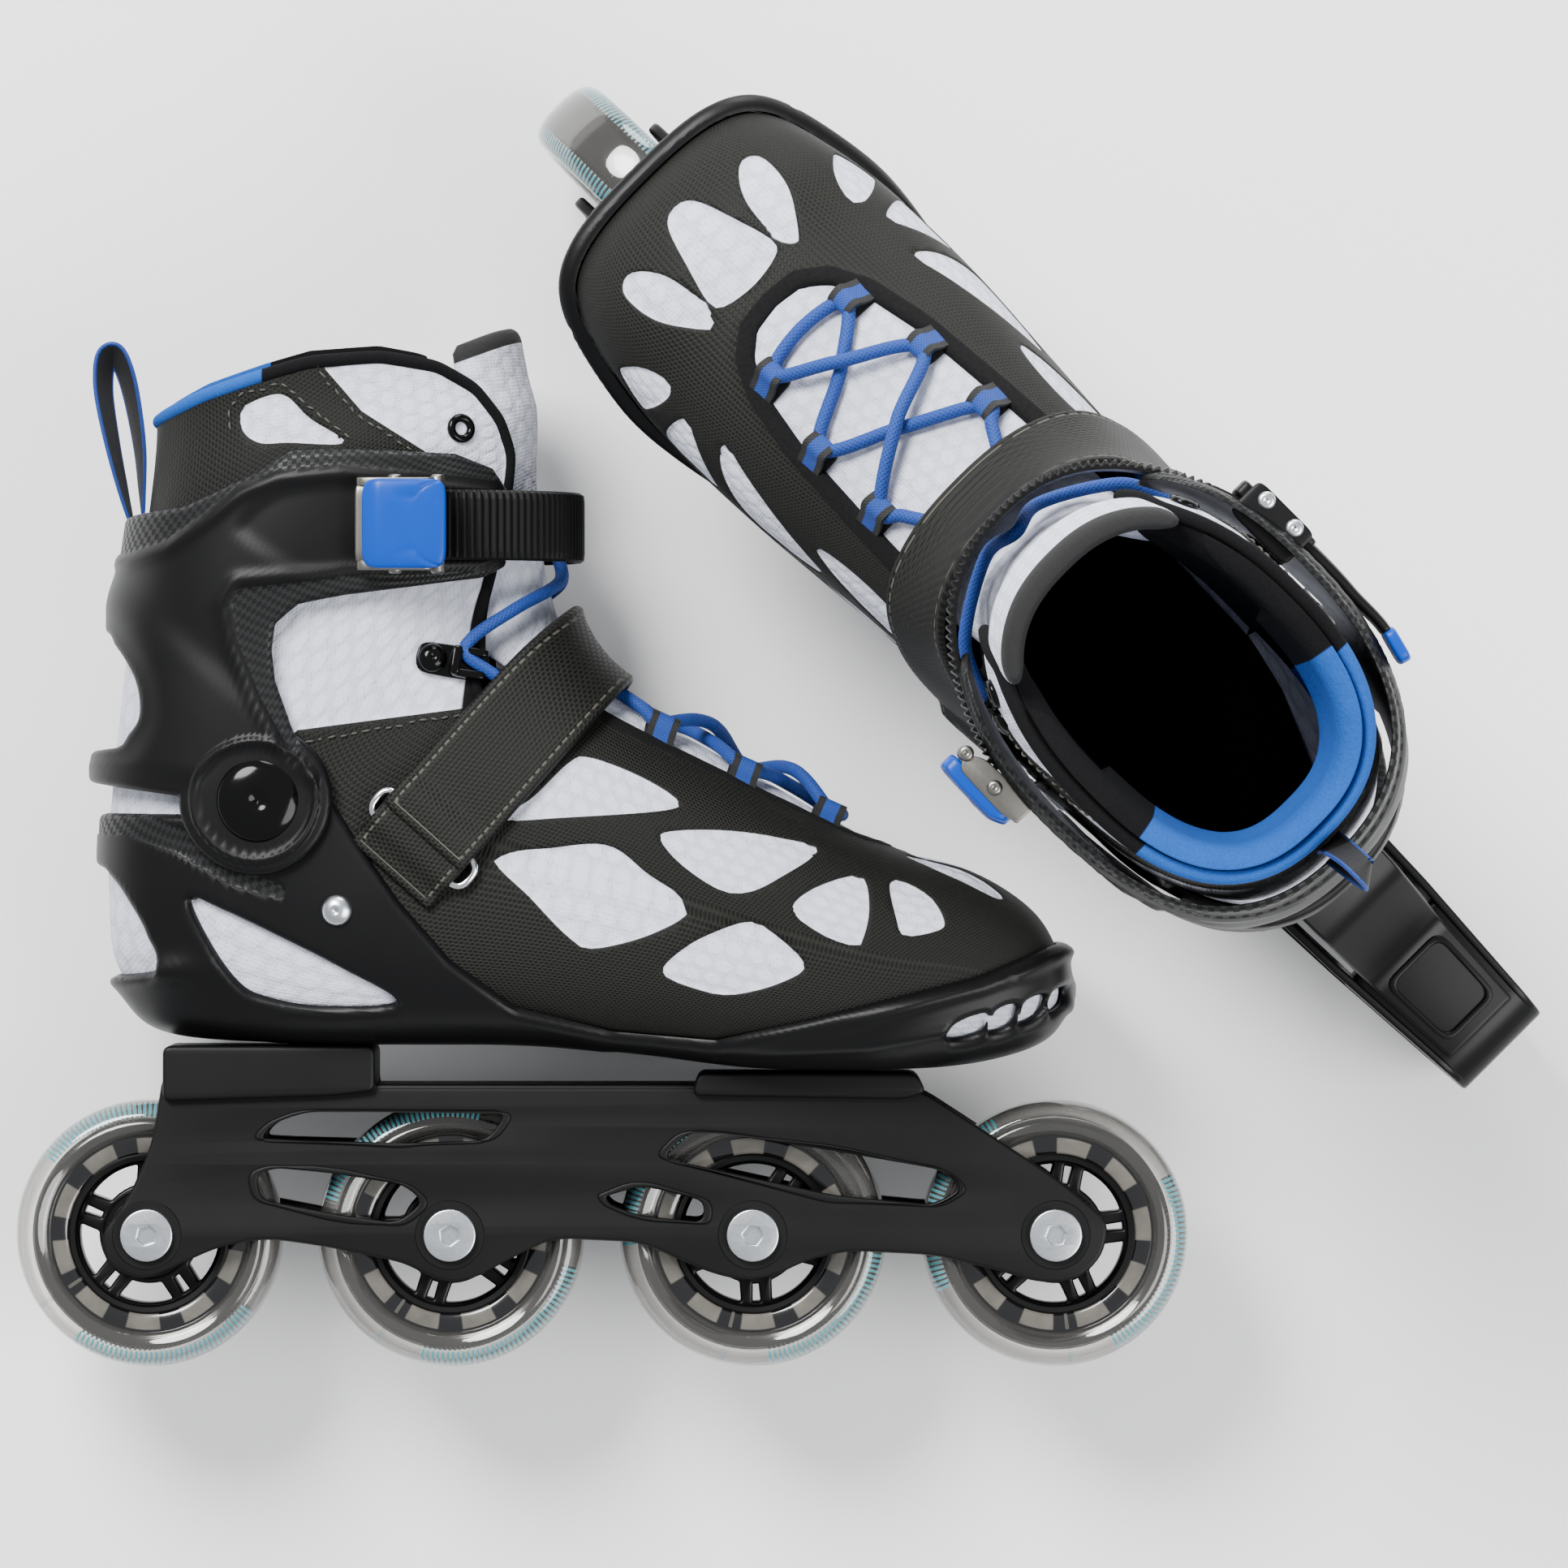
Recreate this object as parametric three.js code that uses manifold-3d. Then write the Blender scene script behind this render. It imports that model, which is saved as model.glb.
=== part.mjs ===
// A pair of inline skates, laid out for display: the left skate lies on its outer side and the right
// skate stands on its wheels. Each skate is a soft boot in a plastic shell with a hinged cuff, on a
// frame with a row of four wheels. Millimetres, +Z up, +X along the lying skate towards its toe.
import * as THREE from "three";
import { mergeVertices } from "three/addons/utils/BufferGeometryUtils.js";
import Module from "manifold-3d";

const wasm = await Module();
wasm.setup();

// ---- Driving dimensions -------------------------------------------------------------------------
const WHEEL_COUNT = 4;
const WHEEL_RADIUS = 40;
const WHEEL_WIDTH = 24;
const AXLE_SPACING = 90.3;
const HUB_RADIUS = 29;
const HUB_WIDTH = 17;
const BEARING_RADIUS = 11;
const BEARING_WIDTH = 7;
const AXLE_RADIUS = 4;
const AXLE_HEAD_RADIUS = 7.8;
const AXLE_HEAD_HEIGHT = 2.2;
const WHEEL_CLEARANCE = 2; // gap between a wheel's face and the frame's side plate
const PLATE = 3.5; // side plate thickness
const PAD_HALF = 21; // half the width of the frame's two mounting pads
const HEEL_SOLE = 100.6; // heights of the boot's sole over the frame's two mounting pads
const TOE_SOLE = 92.6;
const PAD_GAP = 0.6; // gap between the shell and the mounting pads
const SHELL_WALL = 3;
const CUFF_WALL = 2.4;
const CUFF_CLEARANCE = 1.2; // running gap between the shell and the cuff that turns over it
const UPPER_WALL = 4;
const COLLAR_WALL = 8;
const TONGUE_WALL = 7;
const FOOTBED_THICKNESS = 4;
const POWER_STRAP_WIDTH = 31;
const POWER_STRAP_THICKNESS = 2;
const LADDER_WIDTH = 21;
const LADDER_THICKNESS = 2.4;
const LADDER_HEIGHT = 251; // height of the ladder strap's middle over the floor
const LACE_DIAMETER = 4;
const BUCKLE_HALF = 44.5; // the boot's half width where the buckle is
const FIT = 0.4; // gap between pieces that touch
const PIVOT = { x: -100.7, z: 169.8 }; // the ankle pivot that the cuff turns on
const PIVOT_BOSS = 22;
const PIVOT_EAR = 15; // radius of the shell's ear behind the boss
const STANDING = { x: 110, y: 255, heading: 135 }; // the upright skate's place beside the lying one

const CHANNEL_HALF = WHEEL_WIDTH / 2 + WHEEL_CLEARANCE; // half the gap between the side plates
const FRAME_OUT = CHANNEL_HALF + PLATE;

// Offsets from the boot's fabric, worked out from the walls.
const SHELL_OUT = FIT + SHELL_WALL;
const CUFF_IN = SHELL_OUT + CUFF_CLEARANCE;
const CUFF_OUT = CUFF_IN + CUFF_WALL;
const LADDER_IN = CUFF_OUT + FIT;
const LADDER_OUT = LADDER_IN + LADDER_THICKNESS;
const BUCKLE_FACE = BUCKLE_HALF + LADDER_OUT; // how far out the ladder strap's sides reach
const ANKLE_GAP = { shaft: 38.2, foot: 31.5 }; // slopes of the gap that lets the shaft lean forward
const HEEL_MOUNT_TOP = HEEL_SOLE - SHELL_OUT - PAD_GAP;
const TOE_MOUNT_TOP = TOE_SOLE - SHELL_OUT - PAD_GAP;
const DECK_BOTTOM = 2 * WHEEL_RADIUS + 1.4; // the frame's deck runs just over the wheels

// Sections through the boot, from the toe round the heel to the collar: the point on the top or front
// profile, the point on the sole or back profile, and the half width between them.
const SECTIONS = [
  { top: [137.5, 117], base: [136.5, 108], half: 16 },
  { top: [135, 128], base: [131, 101], half: 31 },
  { top: [127, 138.5], base: [120, 96.5], half: 40 },
  { top: [110, 149], base: [103, 93.5], half: 45.5 },
  { top: [84, 157], base: [80, 92.6], half: 49 },
  { top: [50, 175.5], base: [46, 93], half: 49 },
  { top: [19, 193], base: [12, 97], half: 46.5 },
  { top: [0, 206], base: [-22, 100], half: 44.5 },
  { top: [-10, 219.5], base: [-58, 100.6], half: 43 },
  { top: [-13, 232], base: [-98, 100.8], half: 42 },
  { top: [-14.5, 241], base: [-130, 104], half: 41 },
  { top: [-15.5, 248], base: [-145, 119], half: 40.5 },
  { top: [-16, 255], base: [-148, 140], half: 41 },
  { top: [-16.5, 262], base: [-147.5, 166], half: 41.5 },
  { top: [-17, 269], base: [-145, 192], half: 42.5 },
  { top: [-18, 277], base: [-141.5, 222], half: BUCKLE_HALF },
  { top: [-20, 287], base: [-136, 254], half: BUCKLE_HALF },
  { top: [-24, 297], base: [-133.5, 284], half: 42 },
];
const AROUND = 18; // points round a section
const SOLE_SECTIONS = 10; // sections up to this one have a flat sole
const ROUND = 2.4; // exponent of the rounded square that each section follows
const FLAT = 4; // its exponent along the sole

// ---- Solids -------------------------------------------------------------------------------------
function solid(geometry) {
  const bare = new THREE.BufferGeometry().setAttribute("position", geometry.getAttribute("position"));
  if (geometry.index) bare.setIndex(geometry.index);
  const merged = mergeVertices(bare, 1e-4);
  return new wasm.Manifold(
    new wasm.Mesh({
      numProp: 3,
      vertProperties: new Float32Array(merged.attributes.position.array),
      triVerts: new Uint32Array(merged.index.array),
    }),
  );
}

function geometryOf(manifold) {
  const mesh = manifold.getMesh();
  const points = new Float32Array(mesh.numVert * 3);
  for (let i = 0; i < mesh.numVert; i++) {
    points.set(mesh.vertProperties.subarray(i * mesh.numProp, i * mesh.numProp + 3), i * 3);
  }
  return new THREE.BufferGeometry()
    .setAttribute("position", new THREE.BufferAttribute(points, 3))
    .setIndex(new THREE.BufferAttribute(new Uint32Array(mesh.triVerts), 1));
}

// A side-view outline, in x and z, made solid between two y values.
function prism(shape, fromY, toY, curveSegments = 6) {
  const settings = { depth: toY - fromY, bevelEnabled: false, curveSegments };
  return solid(new THREE.ExtrudeGeometry(shape, settings).rotateX(Math.PI / 2).translate(0, toY, 0));
}

function outline(points) {
  return new THREE.Shape(points.map(([x, z]) => new THREE.Vector2(x, z)));
}

function block(sizeX, sizeY, sizeZ, x, y, z) {
  return solid(new THREE.BoxGeometry(sizeX, sizeY, sizeZ).translate(x, y, z));
}

// A cylinder whose axis runs across the skate.
function crossways(radius, length, x, z, y = 0, sides = 20) {
  return solid(new THREE.CylinderGeometry(radius, radius, length, sides).translate(x, y, z));
}

// A ring or disc turned about the y axis from a profile of [radius, y] points.
function turned(profile, sides) {
  const points = profile.map(([r, y]) => new THREE.Vector2(r, y));
  return solid(new THREE.LatheGeometry(points, sides));
}

// ---- The boot's surface -------------------------------------------------------------------------
const power = (value, exponent) => Math.sign(value) * Math.abs(value) ** exponent;

function sectionPoint(i, angle) {
  const { top, base, half } = SECTIONS[i];
  const squareness = Math.cos(angle) < 0 && i < SOLE_SECTIONS ? FLAT : ROUND;
  const along = power(Math.cos(angle), 2 / squareness) / 2;
  const across = power(Math.sin(angle), 2 / squareness);
  return new THREE.Vector3(
    (top[0] + base[0]) / 2 + along * (top[0] - base[0]),
    across * half,
    (top[1] + base[1]) / 2 + along * (top[1] - base[1]),
  );
}

// The grid of boot points, each moved along the surface normal by `offset`.
function bootGrid(offset) {
  const last = SECTIONS.length - 1;
  const at = (i, j) => sectionPoint(Math.min(Math.max(i, 0), last), (2 * Math.PI * j) / AROUND);
  return SECTIONS.map((_, i) =>
    Array.from({ length: AROUND }, (_, j) => {
      const round = at(i, j + 1).sub(at(i, j - 1));
      const along = at(i + 1, j).sub(at(i - 1, j));
      const normal = round.cross(along).normalize();
      return at(i, j).addScaledVector(normal, offset);
    }),
  );
}

const COLLAR_WAY = new THREE.Vector3(-2, 0, 10).normalize(); // the way the collar leans
const NOSE = 1.5; // how far the toe's tip stands ahead of the first section

// The boot's solid at an offset from its outer fabric. `reach` lengthens its collar end.
function bootSolid(offset, reach = 0) {
  const rings = bootGrid(offset);
  const lift = COLLAR_WAY.clone().multiplyScalar(reach);
  if (reach > 0) rings.push(rings.at(-1).map((p) => p.clone().add(lift)));
  const nose = rings[0].reduce((sum, p) => sum.add(p), new THREE.Vector3()).divideScalar(AROUND);
  nose.x += NOSE + Math.max(offset, 0);
  const crown = rings.at(-1).reduce((sum, p) => sum.add(p), new THREE.Vector3()).divideScalar(AROUND);
  const points = [...rings.flat(), nose, crown];
  const index = [];
  const id = (i, j) => i * AROUND + ((j + AROUND) % AROUND);
  for (let i = 0; i < rings.length - 1; i++) {
    for (let j = 0; j < AROUND; j++) {
      index.push(id(i, j), id(i, j + 1), id(i + 1, j + 1), id(i, j), id(i + 1, j + 1), id(i + 1, j));
    }
  }
  for (let j = 0; j < AROUND; j++) {
    index.push(points.length - 2, id(0, j + 1), id(0, j));
    index.push(points.length - 1, id(rings.length - 1, j), id(rings.length - 1, j + 1));
  }
  const positions = new Float32Array(points.flatMap((p) => [p.x, p.y, p.z]));
  const geometry = new THREE.BufferGeometry()
    .setAttribute("position", new THREE.BufferAttribute(positions, 3))
    .setIndex(index);
  const made = solid(geometry);
  if (made.volume() > 0) return made;
  for (let k = 0; k < index.length; k += 3) [index[k + 1], index[k + 2]] = [index[k + 2], index[k + 1]];
  return solid(geometry.setIndex(index));
}

// A wall that follows the boot between two offsets, kept where a side-view prism covers it. The inside
// is made longer, so that the wall stays open at the collar.
const OPEN_END = 20;

function skin(inner, outer, region, reach = 0) {
  return bootSolid(outer, reach).subtract(bootSolid(inner, reach + OPEN_END)).intersect(region);
}

// ---- Side-view outlines, as [x, z] ----------------------------------------------------------------
const REACH = 22; // how far the boot's surface runs on above its last section
const FAR = 90; // beyond either side of the skate

const ANKLE_HALF_GAP = 1.7; // half the gap between the foot and the shaft, at the pivot
const slope = (degrees, x) => Math.tan(THREE.MathUtils.degToRad(degrees)) * (x - PIVOT.x);
const shaftFloor = (x) => PIVOT.z + ANKLE_HALF_GAP + slope(ANKLE_GAP.shaft, x);
const footCeiling = (x) => PIVOT.z - ANKLE_HALF_GAP + slope(ANKLE_GAP.foot, x);
const tongueFloor = (x) => shaftFloor(x) + 3;
const OPEN_X = -27; // where the shaft ends and the tongue begins

const OUTLINES = {
  shell: [
    [-175, 166], [-118, 165.5], [-111, 176], [-88, 184], [-71, 156.5], [-59, 139.5], [-44, 122.5],
    [-25, 109], [4, 101.5], [34, 99], [63, 105.5], [87, 111.5], [111, 117.5], [133, 126], [150, 130],
    [150, 80], [-175, 80],
  ],
  shellHeelWindow: [
    [-175, 151], [-150, 150], [-144, 146.5], [-139, 139.5], [-134, 130], [-133, 119], [-175, 121],
  ],
  shellSideWindow: [
    [-121, 140.5], [-112, 137.5], [-95, 129.5], [-76, 120], [-60, 110.5], [-83, 109], [-100, 112],
    [-107.5, 116.5], [-115, 127],
  ],
  cuff: [
    [-175, 252], [-143, 252.5], [-120, 256], [-100, 266], [-90.5, 272], [-73.5, 273], [-44.5, 272],
    [-34.5, 268], [-31, 262], [-31, 239], [-37, 235.5], [-76, 230.5], [-89, 228], [-95.5, 222],
    [-96.5, 214.5], [-95.5, 205], [-90.5, 190.5], [-83, 178], [-117, 170], [-155, 175.5], [-175, 176],
  ],
  cuffHeelWindow: [
    [-175, 221], [-145, 219.5], [-139, 214.5], [-134, 205], [-133, 195], [-136, 189], [-142, 184.5],
    [-175, 184],
  ],
  shaft: [
    [PIVOT.x, shaftFloor(PIVOT.x)], [OPEN_X, shaftFloor(OPEN_X)], [OPEN_X, 273], [-34.5, 288], [-49, 297],
    [-71, 305], [-100, 302], [-134, 288], [-165, 286], [-165, PIVOT.z + 5.6],
  ],
  tongue: [
    [OPEN_X + FIT, tongueFloor(OPEN_X)], [0, tongueFloor(0)], [0, 300], [-20, 312.5], [-51.5, 300.5],
    [-48.6, 297.6], [-34, 288.6], [OPEN_X + FIT, 273.4],
  ],
  foot: [
    [-165, footCeiling(PIVOT.x)], [PIVOT.x, footCeiling(PIVOT.x)], [10, footCeiling(10)],
    [165, footCeiling(10)], [165, 80], [-165, 80],
  ],
  footbed: [
    [-128, 80], [116, 80], [116, 103.5], [84, 103.5], [34, 105], [8, 108.5], [-22, 111.5], [-58, 112],
    [-128, 114],
  ],
};

const side = (points) => prism(outline(points), -FAR, FAR);

// ---- Pieces of one skate, in its own frame: +X to the toe, +Y to its outer side, z = 0 on the floor ---
const wheelX = (i) => (i - (WHEEL_COUNT - 1) / 2) * AXLE_SPACING;

// The side plate hangs on the deck between the two pads, and dips to each axle. A lower point is
// [axle number, distance along from that axle, height over it].
const PADS = { heel: [-130.6, -67.4], toe: [28.7, 94] }; // where the pads start and end, along x
const PLATE_EDGE = [
  [0, 1.5, 27], [0, -6, 10], [0, -14, 0], [0, -10.5, -9.5], [0, -1.5, -14], [0, 13.5, -7],
  [0, 21.9, -3.4], [0, 35.5, -1], [1, -37.9, -3.4], [1, -13.9, -8.3], [1, 0.4, -14.4], [1, 15.4, -9.5],
  [1, 30.1, -1], [2, -33.4, -2.2], [2, -14.1, -10.7], [2, 0, -13.2], [2, 15.1, -7], [2, 27.3, -4.7],
  [3, -36.4, -6], [3, -16.8, -10.7], [3, 0, -14.4], [3, 12.5, -9.5], [3, 16.5, 4], [3, 0.3, 17],
  [3, -24, 33],
];
const PLATE_SLOTS = [
  [[0, 35.5, 30.8], [0, 45.5, 36.7], [1, 17.7, 36.2], [1, 9.2, 27.4], [0, 36.5, 29]],
  [[0, 32.5, 19], [0, 40.9, 19.7], [1, -13.7, 15], [1, -7.8, 10], [1, -15.4, 3.6], [0, 34.8, 10.7]],
  [[2, -27.1, 23], [2, -19.3, 30.6], [2, -8.1, 29.9], [3, -34, 19.4], [3, -27.9, 14], [3, -36.4, 9],
    [2, 23.9, 11.9]],
  [[2, -44.1, 11.5], [2, -32.9, 14.8], [2, -14.5, 10.2], [2, -15.7, 3.9], [2, -42.2, 9]],
];
const DECK_TOP = DECK_BOTTOM + 3.6;
const atAxle = ([i, along, over]) => [wheelX(i) + along, WHEEL_RADIUS + over];

const PLATE_TUCK = 1; // how far the plate's top edge stops under the deck's
const HEEL_RISE = 4; // how much higher the plate stands beside the heel pad

function frame() {
  const top = DECK_TOP - PLATE_TUCK;
  const shape = outline([
    [PADS.heel[0], top + HEEL_RISE], ...PLATE_EDGE.map(atAxle), [PADS.toe[1], top], [PADS.toe[0], top],
    [PADS.heel[1], top], [PADS.heel[1], top + HEEL_RISE],
  ]);
  shape.holes = PLATE_SLOTS.map((slot) => outline(slot.map(atAxle)));
  let made = prism(shape, CHANNEL_HALF, FRAME_OUT).add(prism(shape, -FRAME_OUT, -CHANNEL_HALF));
  const deck = [
    [PADS.heel[0], HEEL_MOUNT_TOP, PADS.heel[1], PAD_HALF],
    [PADS.heel[1], DECK_TOP, PADS.toe[0], FRAME_OUT],
    [PADS.toe[0], TOE_MOUNT_TOP, PADS.toe[1], PAD_HALF],
  ];
  for (const [from, top, to, half] of deck) {
    const middle = (from + to) / 2;
    const height = top - DECK_BOTTOM;
    made = made.add(block(to - from, 2 * half, height, middle, 0, DECK_BOTTOM + height / 2));
  }
  for (let i = 0; i < WHEEL_COUNT; i++) {
    made = made.subtract(crossways(AXLE_RADIUS + FIT, 3 * FRAME_OUT, wheelX(i), WHEEL_RADIUS, 0, 10));
  }
  return made;
}

function baseShell() {
  const region = side(OUTLINES.shell)
    .add(crossways(PIVOT_EAR, 2 * FAR, PIVOT.x, PIVOT.z))
    .subtract(side(OUTLINES.shellHeelWindow))
    .subtract(side(OUTLINES.shellSideWindow));
  return skin(FIT, SHELL_OUT, region, REACH);
}

// Lugs on the cuff's outer side that hold the pins of the ladder strap and of the closing lever.
const KNUCKLE = 3; // radius round each pin
const STRAP_PIN = { x: -57, y: BUCKLE_HALF + LADDER_IN + KNUCKLE };
const LEVER_PIN = { x: -68, y: BUCKLE_HALF + LADDER_IN + KNUCKLE };
const LUG = 3.4; // thickness
const LUG_LENGTH = 22;
const LUG_ROOT = 2; // how deep the lugs are rooted in the cuff's wall
const LUG_GAP = LADDER_WIDTH + 2 * FIT;

function cuff() {
  const region = side(OUTLINES.cuff)
    .add(crossways(PIVOT_BOSS, 2 * FAR, PIVOT.x, PIVOT.z))
    .subtract(side(OUTLINES.cuffHeelWindow));
  let made = skin(CUFF_IN, CUFF_OUT, region, REACH);
  const from = CUFF_IN + BUCKLE_HALF - LUG_ROOT;
  const to = STRAP_PIN.y + KNUCKLE;
  const x = (STRAP_PIN.x + LEVER_PIN.x) / 2;
  for (const way of [-1, 1]) {
    const z = LADDER_HEIGHT + (way * (LUG_GAP + LUG)) / 2;
    const lug = block(LUG_LENGTH, to - from, LUG, x, (to + from) / 2, z);
    made = made.add(lug.subtract(bootSolid(CUFF_IN + LUG_ROOT / 2, REACH)));
  }
  return made;
}

function upper() {
  return skin(-UPPER_WALL, 0, side(OUTLINES.foot));
}

function collarShaft() {
  return skin(-COLLAR_WALL, 0, side(OUTLINES.shaft), REACH);
}

function tongue() {
  return skin(-TONGUE_WALL, 0, side(OUTLINES.tongue), REACH);
}

function footbed() {
  const top = -(UPPER_WALL + FIT);
  return skin(top - FOOTBED_THICKNESS, top, side(OUTLINES.footbed));
}

// The strap runs from its ring on the boot's side up and over the instep.
const STRAP = { ring: [-51, 160], way: [47, 53], reach: 95, lift: 0.2 };

function powerStrap() {
  const ring = new THREE.Vector2(...STRAP.ring);
  const along = new THREE.Vector2(...STRAP.way).normalize();
  const across = new THREE.Vector2(-along.y, along.x).multiplyScalar(POWER_STRAP_WIDTH / 2);
  const crest = ring.clone().addScaledVector(along, STRAP.reach);
  const band = new THREE.Shape([
    ring.clone().add(across),
    ring.clone().sub(across),
    crest.clone().sub(across),
    crest.clone().add(across),
  ]);
  const under = FIT + STRAP.lift;
  return skin(under, under + POWER_STRAP_THICKNESS, prism(band, -FAR, FAR));
}

const standing = (radius, x, y) =>
  solid(
    new THREE.CylinderGeometry(radius, radius, LADDER_WIDTH, 12)
      .rotateX(Math.PI / 2)
      .translate(x, y, LADDER_HEIGHT),
  );

const STRAP_END = -58; // where the ladder strap ends inside the receiver
const STRAP_LINK = { length: 8, inset: 0.6 }; // the strap's thick end beside its pin

function ladderStrap() {
  const span = 70; // longer than the strap's reach round the tongue
  const reach = FAR + BUCKLE_HALF;
  const front = block(span, 2 * FAR, LADDER_WIDTH, STRAP_END + span / 2, 0, LADDER_HEIGHT);
  const cut = block(span, reach, 2 * LADDER_WIDTH, STRAP_PIN.x + 1 - span / 2, reach / 2, LADDER_HEIGHT);
  const linkX = STRAP_PIN.x + STRAP_LINK.length / 2;
  const linkY = STRAP_PIN.y - KNUCKLE + STRAP_LINK.inset;
  const link = block(STRAP_LINK.length, 2 * KNUCKLE, LADDER_WIDTH, linkX, linkY, LADDER_HEIGHT);
  const pin = standing(KNUCKLE, STRAP_PIN.x, STRAP_PIN.y);
  const knuckle = pin.add(link).subtract(bootSolid(LADDER_IN, REACH));
  return skin(LADDER_IN, LADDER_OUT, front.subtract(cut), REACH).add(knuckle);
}

const GRIP = { length: 34, thickness: 4.6 }; // the closing lever's curved handle
const GRIP_LINK = { length: 7, thickness: 4 };

function closingLever() {
  const gripX = LEVER_PIN.x - KNUCKLE - GRIP.length / 2;
  const rear = block(GRIP.length, FAR, LADDER_WIDTH, gripX, FAR / 2, LADDER_HEIGHT);
  const grip = skin(LADDER_IN, LADDER_IN + GRIP.thickness, rear, REACH);
  const linkX = LEVER_PIN.x + 1 - GRIP_LINK.length / 2;
  const { length, thickness } = GRIP_LINK;
  const link = block(length, thickness, LADDER_WIDTH, linkX, LEVER_PIN.y - FIT, LADDER_HEIGHT);
  return grip.add(link).add(standing(KNUCKLE, LEVER_PIN.x, LEVER_PIN.y));
}

// The receiver: a bridge behind the strap's end and a cheek on each side of the strap. It is cut back
// to the cuff's curve, so its depth only has to reach inside the cuff.
const RECEIVER = { from: -73.5, to: -44.5, bridge: 9, cheek: 3, height: 5.2, depth: 20 };

function buckleBody() {
  const { from, to, bridge, cheek, height, depth } = RECEIVER;
  const y = -(BUCKLE_FACE + height - depth / 2);
  let made = block(bridge, depth, LUG_GAP + 2 * cheek, from + bridge / 2, y, LADDER_HEIGHT);
  for (const way of [-1, 1]) {
    const z = LADDER_HEIGHT + (way * (LUG_GAP + cheek)) / 2;
    made = made.add(block(to - from, depth, cheek, (from + to) / 2, y, z));
  }
  return made.subtract(bootSolid(CUFF_OUT + FIT, REACH));
}

const RELEASE = { x: -52, length: 17.5, thickness: 3.8, gap: 0.6 };

function releaseLever() {
  const y = -(BUCKLE_FACE + RELEASE.gap + RELEASE.thickness / 2);
  return block(RELEASE.length, RELEASE.thickness, LADDER_WIDTH, RELEASE.x, y, LADDER_HEIGHT);
}

// ---- Lace ---------------------------------------------------------------------------------------------
// Loop places down the throat, from the toe: distance along, and half the gap between the two rows.
const LACE_LOOPS = [
  { x: 67, half: 14.5 },
  { x: 42, half: 20 },
  { x: 17.5, half: 20.5 },
];

function vampHeight(x, y) {
  const i = SECTIONS.findIndex((section) => section.top[0] <= x);
  const [low, high] = [SECTIONS[i], SECTIONS[i - 1]];
  const share = (x - low.top[0]) / (high.top[0] - low.top[0]);
  const crown = THREE.MathUtils.lerp(low.top[1], high.top[1], share);
  const half = THREE.MathUtils.lerp(low.half, high.half, share);
  const rise = (crown - THREE.MathUtils.lerp(low.base[1], high.base[1], share)) / 2;
  return crown - rise * (1 - (1 - (Math.abs(y) / half) ** ROUND) ** (1 / ROUND));
}

const LACE_GAP = 0.9; // between the lace and the boot
const CROSSING_GAP = 1.2; // between two laces where they cross

function lace() {
  const rest = LACE_DIAMETER / 2 + LACE_GAP;
  const at = (x, y, lift = 0) => new THREE.Vector3(x, y, vampHeight(x, y) + rest + lift);
  const [toe, middle, ankle] = LACE_LOOPS;
  const between = (a, b) => (a.x + b.x) / 2;
  const over = LACE_DIAMETER + CROSSING_GAP;
  const route = [
    at(ankle.x - 6, ankle.half - 3),
    at(ankle.x, ankle.half),
    at(between(ankle, middle), 0),
    at(middle.x, -middle.half),
    at(between(middle, toe), 0),
    at(toe.x, toe.half),
    at(toe.x + 4, 0),
    at(toe.x, -toe.half),
    at(between(middle, toe), 0, over),
    at(middle.x, middle.half),
    at(between(ankle, middle), 0, over),
    at(ankle.x, -ankle.half),
    at(ankle.x - 6, -(ankle.half - 3)),
  ];
  const section = new THREE.Shape().absarc(0, 0, LACE_DIAMETER / 2, 0, 2 * Math.PI);
  return solid(
    new THREE.ExtrudeGeometry(new THREE.Shape(section.getPoints(4)), {
      steps: 44,
      extrudePath: new THREE.CatmullRomCurve3(route, false, "centripetal"),
    }),
  );
}

// ---- Wheels, about their own centre with the axle along y ----------------------------------------------
const TREAD_FACETS = 20;
const TYRE_GAP = 0.3; // between the hub and the tyre cast round it
const TREAD = { flat: 4, shoulder: 7, waist: 2.5 }; // half width, drop to the widest place, narrowing

function tyre() {
  const corner = 1 / Math.cos(Math.PI / TREAD_FACETS); // how much further out a facet's corners are
  const inside = (HUB_RADIUS + TYRE_GAP) * corner;
  const tread = WHEEL_RADIUS * corner;
  const half = WHEEL_WIDTH / 2;
  const profile = [
    [inside, -half + TREAD.waist],
    [tread - TREAD.shoulder, -half],
    [tread, -TREAD.flat],
    [tread, TREAD.flat],
    [tread - TREAD.shoulder, half],
    [inside, half - TREAD.waist],
    [inside, -half + TREAD.waist],
  ];
  return solid(
    new THREE.LatheGeometry(
      profile.map(([r, y]) => new THREE.Vector2(r, y)),
      TREAD_FACETS,
    ).rotateY(Math.PI / TREAD_FACETS),
  );
}

const HUB_WINDOWS = { count: 5, from: 14.5, to: 21, bulge: 0.6, sweep: 0.82 };

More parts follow.
